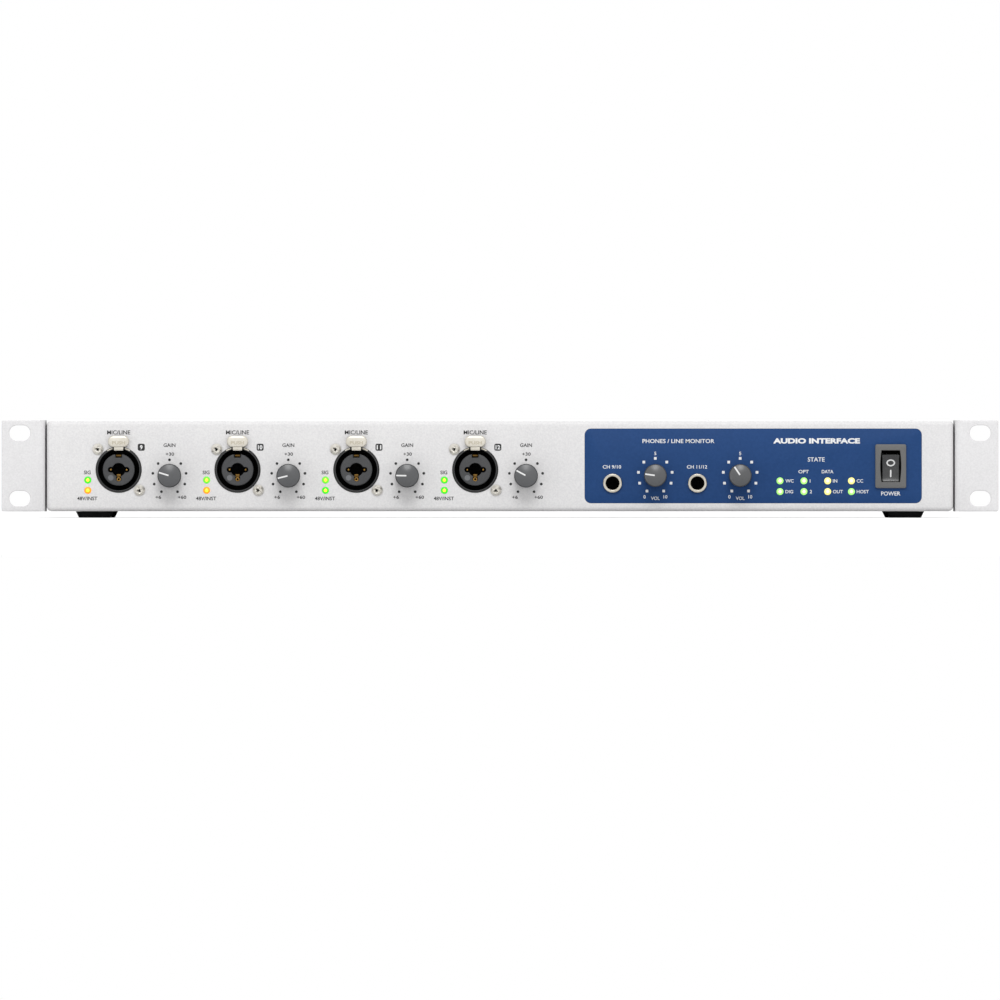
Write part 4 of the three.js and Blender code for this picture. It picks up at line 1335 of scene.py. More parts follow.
@dataclass
class Indicators:
    """The pairs of lights beside the sockets and the bank of eight."""

    def build(self) -> None:
        """Make five pieces, one for each light-guide node."""
        green = (Skin.LIT_GREEN, Skin.LIT_YELLOW)
        orange = (Skin.LIT_ORANGE, Skin.LIT_YELLOW)
        lime = (Skin.LIT_LIME, Skin.LIT_YELLOW)
        pairs = ((green, orange), (lime, orange), (lime, green), (green, green))
        for i, pair in enumerate(pairs):
            piece = Piece(f"channel_guides_{i + 1}", spot(Side.FRONT, 0, 0))
            x = Layout.channels[i] + Layout.channel_light_dx
            for z, (shell, core) in zip(Layout.channel_light_z, pair):
                LightGuide(x, z, shell, core).build(piece)
            piece.finish("chassis", f"channel_lights_{i + 1}")
        pale = (Skin.LIT_PALE_GREEN, Skin.LIT_PALE_CORE)
        warm = (Skin.LIT_PALE_YELLOW, Skin.LIT_PALE_CORE)
        rows = ((pale, pale, warm, warm), (pale, pale, warm, pale))
        piece = Piece("state_guides", spot(Side.FRONT, 0, 0))
        for z, row in zip(Layout.state_z, rows):
            for x, (shell, core) in zip(Layout.state_x, row):
                LightGuide(x, z, shell, core).build(piece)
        piece.finish("chassis", "state_lights")


@dataclass
class JackBush:
    """A nickel bush with a bore and its black throat."""

    outer: float
    bore: float
    proud: float
    depth: float = 9.0

    def profile(self) -> list[Pair]:
        """Give the bush's section."""
        o, b, p = self.outer, self.bore, self.proud
        return [(b, -1.6), (b, p - 0.3), (b + 0.28, p), (o - 0.25, p), (o, p - 0.25), (o, -1.6)]

    def throat(self) -> list[Pair]:
        """Give the section of the black cup behind the bore."""
        b, d = self.bore - 0.04, self.depth
        return [(0, -d), (b, -d), (b, -0.1), (b + 0.5, -0.6), (b + 0.5, -d - 1), (0, -d - 1)]


@dataclass
class PhonesJack:
    """One headphone jack of the blue field."""

    index: int

    def build(self) -> None:
        """Make the jack."""
        place = spot(Side.FRONT, Layout.phones[self.index - 1], Layout.phones_z)
        bush = JackBush(4.6, 3.2, 1.6, 14.0)
        piece = Piece(f"phones_bush_{self.index}", place)
        piece.turned(bush.profile(), Skin.NICKEL, count=56, soft=0.06)
        piece.turned(bush.throat(), Skin.THROAT, count=40)
        piece.turned([(3.2, 0.9), (3.45, 1.35), (3.45, -1), (3.2, -1)], Skin.THROAT, count=40)
        piece.finish("chassis", f"phones_jack_{self.index}")


@dataclass
class PowerSwitch:
    """Grey bezel with a barrel-shaped mouth and a dished rocker."""

    bezel: tuple[float, float, float] = (15.0, 21.3, 0.9)
    mouth: tuple[float, float, float] = (10.1, 15.3, 0.6)
    rocker: Pair = (8.3, 13.0)
    pivot: float = 4.1
    tilt: float = 10.0
    dish: float = 1.5

    def build(self) -> None:
        """Make housing and rocker."""
        place = spot(Side.FRONT, *Layout.switch)
        width, height, radius = self.bezel
        piece = Piece("switch_bezel", place)
        mouth = barrel(*self.mouth)
        piece.sheet(rounded(width, height, radius, 5), (0.05, 1.5), Skin.SWITCH_GREY, [mouth],
            0.45, 3, 0.2)
        wall = inset(mouth, -0.9)
        piece.sheet(wall, (-12, 0.04), Skin.THROAT, [inset(mouth, 0.02)])
        piece.sheet(mouth, (-12, -11), Skin.THROAT)
        piece.finish("chassis", "switch_housing")
        self.make_rocker(place)

    def tilted(self, u: float, h: float, out: float) -> tuple[float, float, float]:
        """Give the place of a rocker point from its height and reach from the pivot."""
        a = math.radians(self.tilt)
        y, z = -out, h
        sin, cos = math.sin(a), math.cos(a)
        return (u, y * sin + z * cos, z * sin - y * cos - self.pivot)

    def reach(self, h: float) -> float:
        """Give the dished face's reach from the pivot at a height."""
        t = 2 * h / self.rocker[1]
        return 4.9 - self.dish * (1 - t * t)

    def make_rocker(self, place: Spot) -> None:
        """Make the rocker with rounded sides and its two marks."""
        half, tall = self.rocker[0] / 2, self.rocker[1] / 2
        steps = [(i / 8 - 1) * tall for i in range(17)]
        front = [(h, self.reach(h)) for h in steps]
        back = [(tall * 0.95, -2.5), (0, -3.6), (-tall * 0.95, -2.5)]
        outline = front + back
        loops = []
        for u, shift in ((-half, 0.45), (-half + 0.12, 0.15), (-half + 0.4, 0.0)):
            loops.append([(u, h, w) for h, w in self.shrunk(outline, shift)])
        loops += [[(-u, h, w) for u, h, w in loop] for loop in reversed(loops)]
        placed = [[self.tilted(u, h, w) for u, h, w in loop] for loop in loops]
        piece = Piece("rocker_key", place).loft(placed, Skin.ROCKER)
        self.marks(piece)
        piece.finish("power_rocker", "power_rocker")

    @staticmethod
    def shrunk(outline: Outline, depth: float) -> Outline:
        """Draw an outline in towards its middle for the rounded sides."""
        return [(h * (1 - depth / 7), w - math.copysign(depth * 0.6, w)) for h, w in outline]

    def marks(self, piece: Piece) -> None:
        """Add the ring for off and the bar for on, laid on the dish."""
        lift = 0.05

        def lay(points: Outline, drop: float) -> list[tuple[float, float, float]]:
            """Lay flat points on the dished face."""
            return [self.tilted(u, h, self.reach(h) + lift - drop) for u, h in points]

        ring = [(2.1 * math.cos(t), 2.3 + 1.75 * math.sin(t)) for t in self.turns(28)]
        hole = [(1.45 * math.cos(t), 2.3 + 1.1 * math.sin(t)) for t in self.turns(28)]
        loops = [lay(ring, 0.3), lay(ring, 0), lay(hole, 0), lay(hole, 0.3)]
        piece.loft(loops, Skin.POINTER, True)
        half = 0.33
        bar = [(half, h) for h in (-4.6, -2.9, -1.2)] + [(-half, h) for h in (-1.2, -2.9, -4.6)]
        piece.loft([lay(bar, 0.3), lay(bar, 0)], Skin.POINTER)

    @staticmethod
    def turns(count: int) -> list[float]:
        """Give angles round a circle."""
        return [2 * math.pi * i / count for i in range(count)]


# -------------------------------------------------------------- rear connectors


@dataclass
class MainsInlet:
    """Three-pin inlet in a moulded bezel."""

    bezel: tuple[float, float, float] = (31.4, 23.9, 0.8)
    recess: Pair = (24.7, 16.5)
    cut: Pair = (5.4, 5.9)

    def build(self) -> None:
        """Make the inlet."""
        piece = Piece("mains_inlet_moulding", spot(Side.REAR, *Layout.inlet))
        width, height, radius = self.bezel
        hole = chamfered(*self.recess, self.cut)
        piece.sheet(rounded(width, height, radius, 4), (0.05, 2.3), Skin.MOULDED_GREY, [hole], 0.5,
            3, 0.35)
        piece.sheet(inset(hole, -1.2), (-14, 0.04), Skin.BLACK_NYLON, [inset(hole, 0.02)])
        piece.sheet(inset(hole, -1.2), (-15, -14.01), Skin.BLACK_NYLON)
        for u, v in ((0, 3.3), (-7.5, -3.6), (7.5, -3.6)):
            sheath = rounded(5.1, 7.3, 0.5, 3, (u, v))
            slot = rounded(2.6, 4.4, 0.3, 2, (u, v))
            piece.sheet(sheath, (-13.99, -9.5), Skin.BLACK_NYLON, [slot], 0.4)
            piece.bar((u - 0.55, u + 0.55), (v - 1.7, v + 1.7), (-13.9, -3.0), Skin.NICKEL, 0.3)
        for u in (-4.3, 4.3):
            piece.turned([(1.4, -13.9), (1.4, -13.6), (1.6, -13.6), (1.6, -13.9)],
                Skin.MOULDED_GREY, (u, 5.2), 24)
        piece.finish("chassis", "mains_inlet")


@dataclass
class CordBail:
    """Wire bail beside the inlet with the hex nut on one leg."""

    radius: float = 1.5

    def build(self) -> None:
        """Make bail and nut."""
        node = Node.of("cord_bail")
        half = (node.hi.x - node.lo.x) / 2 - self.radius
        reach = node.hi.y - self.radius - REAR_FACE
        place = spot(Side.REAR, node.mid.x, node.mid.z)
        path = [Vector((-half, 0, -3))]
        for i in range(41):
            a = math.pi * i / 40
            path.append(Vector((-half * math.cos(a), 0, reach * math.sin(a))))
        path.append(Vector((half, 0, -3)))
        Piece("cord_bail_wire", place).tube(path, self.radius, Skin.DARK_NICKEL, 24).finish(
            "chassis", "cord_bail")
        nut = Node.of("bail_nut")
        Piece("bail_hex_nut", spot(Side.REAR, nut.mid.x, nut.mid.z)).sheet(regular(6.7),
            (0.05, 2.7), Skin.DARK_NICKEL, [circle(1.75, 24)], 0.35, 3, 0.3).finish("chassis",
            "bail_nut")


@dataclass
class DataSocket:
    """Round five-pin socket with a bright shell ring."""

    index: int
    ring: Pair = (6.75, 9.05)
    insert: float = 5.9

    def build(self) -> None:
        """Make the socket."""
        place = spot(Side.REAR, Layout.data[self.index - 1], Layout.data_z)
        piece = Piece(f"data_socket_shell_{self.index}", place)
        low, high = self.ring
        shell = [(low, -6), (low, 0.9), (low + 0.3, 1.2), (high - 0.5, 1.2), (high, 0.7)]
        shell.append((high, 0.05))
        shell += [(7.7, 0.05), (7.7, -6)]
        piece.turned(shell, Skin.BRIGHT_RING, count=64)
        holes = []
        for degrees in (-90, -45, 0, 45, 90):
            a = math.radians(degrees)
            holes.append(circle(0.78, 20, (3.6 * math.sin(a), -3.6 * math.cos(a))))
        piece.sheet(keyed(self.insert, 1.45, 3.9), (-7, -0.4), Skin.MOULDED_GREY, holes, 0.25, 3,
            0.12)
        for hole in holes:
            u = sum(p[0] for p in hole) / len(hole)
            v = sum(p[1] for p in hole) / len(hole)
            piece.turned([(0, -1.9), (0.3, -2.1), (0.45, -2.6), (0.45, -6), (0, -6)], Skin.NICKEL,
                (u, v), 14)
        piece.sheet(circle(7.2, 40), (-7.5, -7.01), Skin.THROAT)
        piece.finish("chassis", f"data_socket_{self.index}")


@dataclass
class ModeButton:
    """Square cyan key in its black frame."""

    size: float = 2.9
    frame: float = 4.3

    def build(self) -> None:
        """Make key and frame."""
        place = spot(Side.REAR, *Layout.mode)
        key = rounded(self.size, self.size, 0.35, 4)
        Piece("mode_key", place).sheet(key, (-7, 1.9), Skin.CYAN, (), 0.3).finish("mode_button",
            "mode_button")
        border = Piece("mode_frame", place)
        frame = rounded(self.frame, self.frame, 0.25, 3)
        window = rounded(self.size + 0.35, self.size + 0.35, 0.3, 3)
        border.sheet(frame, (-2, 0.5), Skin.THROAT, [window], 0.15)
        border.finish("chassis", slot="black_plastic")


@dataclass
class HostPort:
    """Square device port with a central tongue."""

    shell: tuple[float, float, float] = (12.15, 10.75, 0.4)
    mouth: Pair = (8.45, 7.7)

    def build(self) -> None:
        """Make the port."""
        piece = Piece("host_port_shell", spot(Side.REAR, *Layout.host))
        width, height, radius = self.shell
        mouth = chamfered(*self.mouth, (1.7, 1.7))
        piece.sheet(rounded(width, height, radius, 3), (-8, 0.8), Skin.BRIGHT_RING, [mouth], 0.2,
            2, 0.1)
        piece.sheet(inset(mouth, 0.01), (-8, -7), Skin.THROAT)
        # A near-black lining inside the bright shell: painted shade of the port's inner walls.
        piece.sheet(inset(mouth, 0.02), (-7, -0.3), Skin.THROAT, [inset(mouth, 0.35)])
        piece.bar((-2.9, 2.9), (-1.6, 1.6), (-7, -0.8), Skin.BLOCK_WHITE, 0.3)
        for u in (-1.2, 1.2):
            piece.bar((u - 0.35, u + 0.35), (1.55, 1.95), (-6, -1.3), Skin.GOLD, 0.1)
            # Lower contacts: the same gold as the upper ones, painted darker as shade.
            piece.bar((u - 0.35, u + 0.35), (-1.95, -1.55), (-6, -1.3), Skin.BRASS_AND_SHADED_GOLD, 0.1)
        for u in (-5.15, 5.15):
            piece.bar((u - 0.3, u + 0.3), (0.6, 1.5), (0.7, 0.86), Skin.THROAT, 0.05)
        piece.finish("chassis", "host_port")


@dataclass
class RemotePort:
    """Upright flat port with rolled shell, tongue and four contacts."""

    shell: tuple[float, float, float] = (6.8, 14.7, 1.5)
    mouth: Pair = (5.1, 12.5)

    def build(self) -> None:
        """Make the port."""
        piece = Piece("remote_port_shell", spot(Side.REAR, *Layout.remote))
        width, height, radius = self.shell
        mouth = rounded(*self.mouth, 0.7, 4)
        piece.sheet(rounded(width, height, radius, 5), (-8, 0.8), Skin.NICKEL, [mouth], 0.3, 3,
            0.15)
        piece.sheet(rounded(7.1, 14.9, 0.2, 2), (-1.4, -0.3), Skin.THROAT,
            [rounded(width - 0.1, height - 0.1, radius, 5)])
        piece.sheet(inset(mouth, 0.01), (-8, -7), Skin.THROAT)
        piece.bar((-1.85, 0.1), (-5.5, 5.5), (-7, -0.5), Skin.BLOCK_WHITE, 0.2)
        piece.bar((-2.5, -1.9), (-5.9, 5.9), (-7, -1.2), Skin.THROAT)
        for v in (-3.5, -1.2, 1.2, 3.5):
            piece.bar((0.15, 0.75), (v - 0.5, v + 0.5), (-6.5, -0.9), Skin.GOLD, 0.1)
        piece.bar((1.3, 2.3), (-5.6, 2.0), (-7, -3.2), Skin.NICKEL, 0.2)
        piece.finish("chassis", "remote_port")


@dataclass
class ClockSocket:
    """Bayonet socket: flange, hex nut, barrel with studs and a core."""

    index: int
    flange: float = 7.8
    barrel: float = 4.85
    bore: float = 4.25
    length: float = 11.95

    def build(self) -> None:
        """Make the socket."""
        place = spot(Side.REAR, Layout.clocks[self.index - 1], Layout.clock_z)
        piece = Piece(f"clock_socket_body_{self.index}", place)
        f, b, o, end = self.flange, self.barrel, self.bore, self.length
        washer = [(b, 0.05), (f, 0.05), (f, 0.9), (f - 0.5, 1.25), (b, 1.25)]
        piece.turned(washer, Skin.NICKEL, count=64)
        piece.sheet(regular(11.6, 8, math.pi / 8), (1.25, 2.9), Skin.NICKEL, [circle(b, 48)], 0.4)
        tube = [(b, -2), (b, 3.2), (b - 0.35, 3.5), (b - 0.35, 4.1), (b, 4.4), (b, end - 0.3),
            (b - 0.25, end), (o + 0.15, end), (o, end - 0.3), (o - 0.35, 2.0), (2.6, -2)]
        piece.turned(tube, Skin.NICKEL, count=64)
        # Grey disc at the floor of the bore: painted shade of the bore's sloping inside.
        piece.turned([(0, 2.3), (o - 0.3, 2.3), (o - 0.3, 2.0), (0, 2.0)], Skin.MARK, count=40)
        piece.turned(
            [(0.75, 2.2), (1.75, 2.2), (1.75, end - 2.2), (1.5, end - 2), (0.75, end - 2)],
            Skin.BLOCK_WHITE, count=36)
        piece.turned([(0.35, 2.2), (0.75, 2.2), (0.75, end - 2.4), (0.35, end - 2.4)], Skin.GOLD,
            count=24)
        for side in (-1, 1):
            stud = [Vector((side * (b - 0.3), 0, end - 3.2)), Vector((side * 5.65, 0, end - 3.2))]
            piece.tube(stud, 0.95, Skin.NICKEL, 18)
        piece.finish("chassis", f"clock_socket_{self.index}")


@dataclass
class OpticalPort:
    """One square optical port with its hinged shutter."""

    index: int
    pale: bool
    frame: Pair = (10.7, 10.0)

    @staticmethod
    def shape() -> Outline:
        """Give the shutter's outline: small horns on top, ears half way, narrow foot."""
        half = [(1.9, -3.4), (2.75, -2.5), (2.95, -1.3), (3.42, -0.55), (3.42, -0.1)]
        half += [(2.95, 0.85), (3.0, 2.4), (2.3, 2.5), (1.9, 2.1)]
        return half + [(-u, v) for u, v in reversed(half)]

    def build(self) -> None:
        """Make the port's bezel and its shutter."""
        place = spot(Side.REAR, Layout.optical[self.index - 1], Layout.optical_z)
        bezel = Piece(f"optical_bezel_{self.index}", place)
        width, height = self.frame
        outer = rounded(width, height, 0.4, 3)
        mouth = inset(self.shape(), -0.32)
        face = rounded(width - 1.2, height - 1.2, 0.2, 3)
        bezel.sheet(outer, (0.05, 0.6), Skin.THROAT, [face], 0.1, 2)
        bezel.sheet(face, (0.46, 0.75), Skin.SHUTTER_DARK, [mouth], 0.15, 2, 0.1)
        tunnel, wall = rounded(7.4, 7.0, 0.2, 3), rounded(8.4, 8.0, 0.2, 3)
        bezel.sheet(face, (-1.6, 0.45), Skin.THROAT, [tunnel])
        bezel.sheet(wall, (-9, -1.61), Skin.THROAT, [tunnel])
        bezel.sheet(wall, (-10, -9.01), Skin.THROAT)
        for side in (-1, 1):
            bezel.turned([(0, 0.86), (0.24, 0.82), (0.3, 0.7), (0, 0.7)], Skin.GOLD,
                (side * 4.3, -1.7), 12)
        if self.index == 1:
            bezel.finish("chassis", "optical_ports")
        else:
            bezel.finish("chassis", slot="black_plastic")
        skin = Skin.SHUTTER_PALE if self.pale else Skin.SHUTTER_DARK
        flap = Piece(f"optical_flap_{self.index}", place)
        flap.sheet(self.shape(), (-0.4, 0.3), skin, (), 0.12, 2)
        flap.sheet(rounded(3.4, 4.5, 0.25, 3, (0, -0.75)), (0.25, 0.4), skin, (), 0.1, 2)
        node = f"optical_shutter_{self.index}"
        flap.finish(node, node)


@dataclass
class DigitalSockets:
    """The pair of round three-pole sockets, one with pins and one with holes."""

    pin: float = 1.1
    cup: float = 8.3

    def build(self) -> None:
        """Make both sockets and the tab of the input."""
        self.output()
        self.input()

    def output(self) -> None:
        """Make the cup with three pins."""
        piece = Piece("digital_out_cup", spot(Side.REAR, *Layout.digital_out))
        c = self.cup
        wall = [(c, -13), (c, 2.0), (c + 0.25, 2.3), (10.2, 2.3), (10.5, 2.0), (10.6, 0.9),
            (11.1, 0.7), (11.1, 0.05), (10.9, -13)]
        piece.turned(wall, Skin.MOULDED_GREY, count=72)
        piece.turned([(0, -13), (11, -13), (11, -14), (0, -14)], Skin.BLACK_NYLON, count=48)
        piece.sheet(sector(c - 0.25, c + 0.01, -3, 363, 80), (-12.9, 1.2), Skin.BLACK_NYLON)
        r = self.pin
        profile = [(0, -1.6), (r * 0.55, -1.75), (r * 0.9, -2.2), (r, -2.8), (r, -13), (0, -13)]
        for u, v in ((-4.05, 0), (4.05, 0), (0, -4.1)):
            piece.turned(profile, Skin.GOLD, (u, v), 24)
        piece.sheet(sector(7.6, 8.25, 72, 108, 16), (-9, 1.9), Skin.NICKEL, edge=0.2)
        piece.bar((-0.9, 0.9), (-8.2, -7.2), (-12, -1.0), Skin.THROAT, 0.2)
        for side in (-1, 1):
            u = sorted((side * 7.1, side * 8.2))
            piece.bar((u[0], u[1]), (-1.7, 1.7), (-12, -1.5), Skin.THROAT, 0.2)
        piece.finish("chassis", "digital_out_socket")

    def input(self) -> None:
        """Make the socket with three holes, like those of the front."""
        place = spot(Side.REAR, *Layout.digital_in)
        piece = Piece("digital_in_body", place)
        SocketParts().ring(piece)
        spots = ((-4.05, 0.1), (4.05, 0.1), (0, -4.1))
        holes = [circle(1.35, 24, at) for at in spots]
        piece.sheet(keyed(7.65, 1.4, 6.2), (-15, -0.1), Skin.MOULDED_GREY, holes, 0.4, 3, 0.12)
        for u, v in spots:
            piece.bar((u - 0.3, u + 0.3), (v - 0.9, v + 0.9), (-14, -2.2), Skin.GOLD, 0.1)
        piece.bar((-1.0, 1.0), (6.3, 7.5), (-8, -0.8), Skin.BRASS_AND_SHADED_GOLD, 0.2)
        piece.finish("chassis", "digital_in_socket")
        ReleaseTab().build(place, "digital_in_tab", "digital_in_latch")


@dataclass
class LineJacks:
    """Two banks of eight jacks, set out by a geometry-node tree."""

    bush: JackBush = field(default_factory=lambda: JackBush(4.35, 3.35, 1.1, 10.0))

    def build(self) -> None:
        """Make surrounds and throats, then the bright rings, of each bank."""
        scatter = Scatter("jack_bank")
        banks = (("output", Layout.line_out_x), ("input", Layout.line_in_x))
        for name, xs in banks:
            places = Layout.line_points(xs)
            points = [spot(Side.REAR, x, z).at(0, 0, 0) for x, z in places]
            rings = scatter.make(self.ring(), points, Skin.BRIGHT_RING, 0.05, 7)
            settle(f"line_{name}_rings", rings, "chassis", ())
            mesh = scatter.make(self.cup(), points, Skin.THROAT, 0.05, 9)
            settle(f"line_{name}_throats", mesh, "chassis", (f"line_{name}_jacks",))

    def ring(self) -> Piece:
        """Give the bright ring."""
        piece = Piece("jack_ring", Spot(Side.REAR, 0, 0, 0))
        return piece.turned(self.bush.profile(), Skin.NICKEL, count=48, soft=0.05)

    def cup(self) -> Piece:
        """Give the black surround and throat."""
        piece = Piece("jack_cup", Spot(Side.REAR, 0, 0, 0))
        piece.turned(self.bush.throat(), Skin.THROAT, count=36)
        surround = [(4.36, -1.4), (4.36, 0.25), (4.8, 0.25), (4.9, 0.05)]
        surround += [(4.78, 0.0), (4.78, -1.4)]
        piece.turned(surround, Skin.THROAT, count=48)
        return piece.bar((-1.7, 0.1), (2.85, 3.25), (-8, 0.3), Skin.THROAT, 0.1)


# ------------------------------------------------------------ hardware and inner


@dataclass
class Hardware:
    """Screws of the sockets and the sheet metal."""

    screws: ScrewMaker = field(default_factory=ScrewMaker)

    def build(self) -> None:
        """Make every group of screws."""
        corners = ((-10.05, 9.95), (10.05, -9.95))
        front = [spot(Side.FRONT, x, Layout.channel_z).at(u, v, 0.42) for x in Layout.channels
            for u, v in corners]
        self.group("socket_screws_front", front, Skin.SCREW, 2.7, Side.FRONT)
        rear = [spot(Side.REAR, x, z).at(u, v, 0.42)
            for x, z in (Layout.digital_out, Layout.digital_in) for u, v in corners]
        self.group("socket_screws_rear", rear, Skin.DARK_SCREW, 2.5, Side.REAR)
        lid = Node.of("top_cover")
        xs = [-200, -100, 0, 100, 200]
        top = [Vector((x, y, lid.hi.z - 0.36)) * MM for x in xs for y in (-104, 109)]
        self.group("lid_screws", top, Skin.DARK_SCREW, 2.3, Side.TOP)

    def group(self, name: str, points: list[Vector], skin: Skin, radius: float, side: Side) -> None:
        """Make one group of screws that ride on the chassis."""
        tip = side.value * math.pi / 2
        turn = math.pi / 4 if side is not Side.TOP else 0.0
        mesh = self.screws.make(name, points, skin, radius, tip, 11, turn)
        settle(name, mesh, "chassis", ())


@dataclass
class InnerParts:
    """Finishes of the CAD solids that stay as they are inside the case."""

    skins: dict[str, Skin] = field(default_factory=lambda: {"chassis_tray": Skin.ZINC,
        "front_board": Skin.BOARD, "main_board": Skin.BOARD, "power_supply": Skin.BOARD,
        "ribbon_cable": Skin.CABLE})

    def build(self) -> None:
        """Give each kept solid its finish."""
        for name, skin in self.skins.items():
            mesh = frame["nodes"][name].data
            mesh.materials.clear()
            mesh.materials.append(material_of(skin))
            LOG.info("%s keeps its solid and wears %s", name, skin.value.name)


# ----------------------------------------------------------------- printed words


@dataclass
class FrontLegends:
    """Words, numbers and scale dots of the front."""

    gain_dots: tuple[Pair, ...] = ((0, 7.7), (5.5, 5.9), (8.05, 1.15), (7.4, -4.05), (3.9, -7.75),
        (-5.5, 5.9), (-8.05, 1.15), (-7.4, -4.05), (-3.9, -7.75))
    volume_dots: tuple[Pair, ...] = ((0, 8.3), (5.55, 6.5), (8.15, 1.55), (7.6, -3.7),
        (4.05, -7.5), (-5.55, 6.5), (-8.15, 1.55), (-7.6, -3.7), (-4.05, -7.5))

    def build(self) -> None:
        """Print both inks."""
        self.black()
        self.white()

    def black(self) -> None:
        """Print the channel strips on the light panel."""
        ink = Legend("front_print_black", Side.FRONT, Skin.INK_BLACK, weight=0.09)
        digits = Legend("channel_numbers", Side.FRONT, Skin.INK_WHITE, 0.06)
        for i, x in enumerate(Layout.channels):
            ink.word("MIC/LINE", x, 41.3, 1.9, 11.2)
            ink.patch(rounded(3.4, 3.4, 0.8, 4), x + 10.95, 34.1)
            digits.word(str(9 + i), x + 10.95, 34.1, 1.9, 1.25 if i == 0 else 2.2, bold=0.12)
            lights = x + Layout.channel_light_dx
            ink.word("SIG", lights - 0.25, 21.9, 1.7, 3.3)
            ink.word("48V/INST", lights - 0.25, 9.3, 1.7, 9.8)
            knob = x + Layout.gain_dx
            ink.word("GAIN", knob, 35.1, 1.7, 5.8)
            ink.word("+30", knob + 0.2, 30.8, 1.55, 4.1)
            ink.word("+6", knob - 5.4, 9.9, 1.55, 2.8)
            ink.word("+60", knob + 6.1, 9.9, 1.55, 4.1)
            for u, v in self.gain_dots:
                ink.patch(circle(0.66, 20), knob + u, Layout.gain_z + v)
        ink.finish("chassis", "black_sheet")
        digits.finish("chassis", "light_panel")

    def white(self) -> None:
        """Print the blue field."""
        ink = Legend("front_print_white", Side.FRONT, Skin.INK_WHITE)
        ink.word("PHONES / LINE MONITOR", 86.4, 37.1, 1.9, 34.8)
        ink.word("CH 9/10", 54.2, 24.6, 1.6, 8.9)
        ink.word("CH 11/12", 95.4, 24.6, 1.6, 9.8)
        for x in Layout.volumes:
            ink.word("5", x, 31.1, 1.6)
            ink.word("0", x - 5.2, 10.1, 1.6)
            ink.word("10", x + 4.9, 10.1, 1.6)
            ink.word("VOL", x, 9.4, 1.6, 4.2)
            for u, v in self.volume_dots:
                ink.patch(rounded(1.3, 1.3, 0.2, 2), x + u, Layout.volume_z + v)
        ink.word("AUDIO INTERFACE", 153.3, 37.2, 2.3, 42.0, bold=0.25)
        ink.word("STATE", 153.1, 28.2, 2.0, 8.2)
        ink.word("OPT", 147.0, 22.3, 1.6, 5.0)
        ink.word("DATA", 158.6, 22.3, 1.6, 5.6)
        starts = (138.2, 150.0, 161.2, 172.7)
        rows = (("WC", "1", "IN", "CC"), ("DIG", "2", "OUT", "HOST"))
        for z, row in zip(Layout.state_z, rows):
            for x, text in zip(starts, row):
                ink.word(text, x, z, 1.55, align="LEFT")
        ink.word("POWER", Layout.switch[0], 11.7, 1.9, 9.3)
        ink.finish("chassis", "light_panel")


@dataclass
class RearLegends:
    """Words, numbers, rules and generic marks of the rear."""

    def build(self) -> None:
        """Print the rear panel."""
        ink = Legend("rear_print_white", Side.REAR, Skin.INK_WHITE)
        self.power(ink)
        self.digital(ink)
        self.lines(ink)
        ink.finish("chassis", "light_panel")

    def power(self, ink: Legend) -> None:
        """Print round the inlet and the data sockets."""
        x = Layout.inlet[0]
        ink.word("100 - 240 V AC", x, 37.0, 1.7, 24.5)
        ink.word("50 - 60 Hz", x, 8.8, 1.7, 17.0)
        ink.word("AUDIO", 209.3, 24.5, 4.2, 24.0, 1, bold=0.5)
        ink.word("INTERFACE", 205.2, 24.5, 1.2, 24.0, 1)
        names = ("OUT", "IN")
        for cx, name in zip(Layout.data, names):
            ink.word(name, cx, 32.9, 2.1, 8.2 if name == "OUT" else 3.8, bold=0.1)
            ink.word(name, cx, 7.7, 2.1, 8.2 if name == "OUT" else 3.8, bold=0.1)
        ink.word("DATA", 129.0, 36.9, 2.1, 10.4, bold=0.1)

    def digital(self, ink: Legend) -> None:
        """Print round the ports between the data sockets and the jack banks."""
        ink.word("CC", Layout.mode[0] + 0.2, 20.3, 2.1, 5.6, bold=0.1)
        ink.word("MODE", Layout.mode[0], 7.7, 2.1, 11.6, bold=0.1)
        ink.word("HOST", Layout.host[0], 7.7, 2.1, 9.6, bold=0.1)
        ink.word("REMOTE", Layout.remote[0], 7.7, 2.1, 16.2, bold=0.1)
        ink.word("WORD CLOCK", 46.6, 7.7, 2.2, 25.6, bold=0.1)
        ink.word("OUT", 65.0, 17.0, 2.1, 8.0, 1, bold=0.1)
        ink.word("IN", 26.9, 17.0, 2.1, 3.6, 1, bold=0.1)
        for cx, name in zip(Layout.optical, ("OUT", "IN", "OUT", "IN")):
            ink.word(name, cx, 40.6, 2.1, 8.0 if name == "OUT" else 3.8, bold=0.1)
        for cx, name in ((86.0, "OPTICAL 2"), (28.9, "OPTICAL 1")):
            ink.word(name, cx, 34.3, 2.0, 14.6, 1, bold=0.1)
        ink.word("DIGITAL", -30.8, 40.5, 2.1, 16.0, bold=0.1)
        ink.word("OUT", Layout.digital_out[0], 8.6, 2.1, 8.0, bold=0.1)
        ink.word("IN", Layout.digital_in[0], 8.6, 2.1, 3.6, bold=0.1)

    def lines(self, ink: Legend) -> None:
        """Print the two jack banks."""
        banks = (("OUTPUTS", -100.1, 64.1, Layout.line_out_x),
            ("INPUTS", -173.7, 59.5, Layout.line_in_x))
        for name, x, width, xs in banks:
            ink.word(f"BALANCED LINE LEVEL {name}", x, 8.7, 2.2, width, bold=0.12)
            for cx, upper, lower in zip(xs, "7531", "8642"):
                ink.word(upper, cx - 5.1, 40.4, 2.1, 1.2 if upper == "1" else 2.3, bold=0.1)
                ink.word(lower, cx - 5.1, 23.8, 2.1, 2.3, bold=0.1)
        for x in (-62.6, -137.2):
            ink.patch(rounded(0.95, 34.4, 0.1, 2), x, 24.7)
        ink.border(6.1, 18.4, 0.5, -210.2, 24.6)


# ------------------------------------------------------------------------ studio


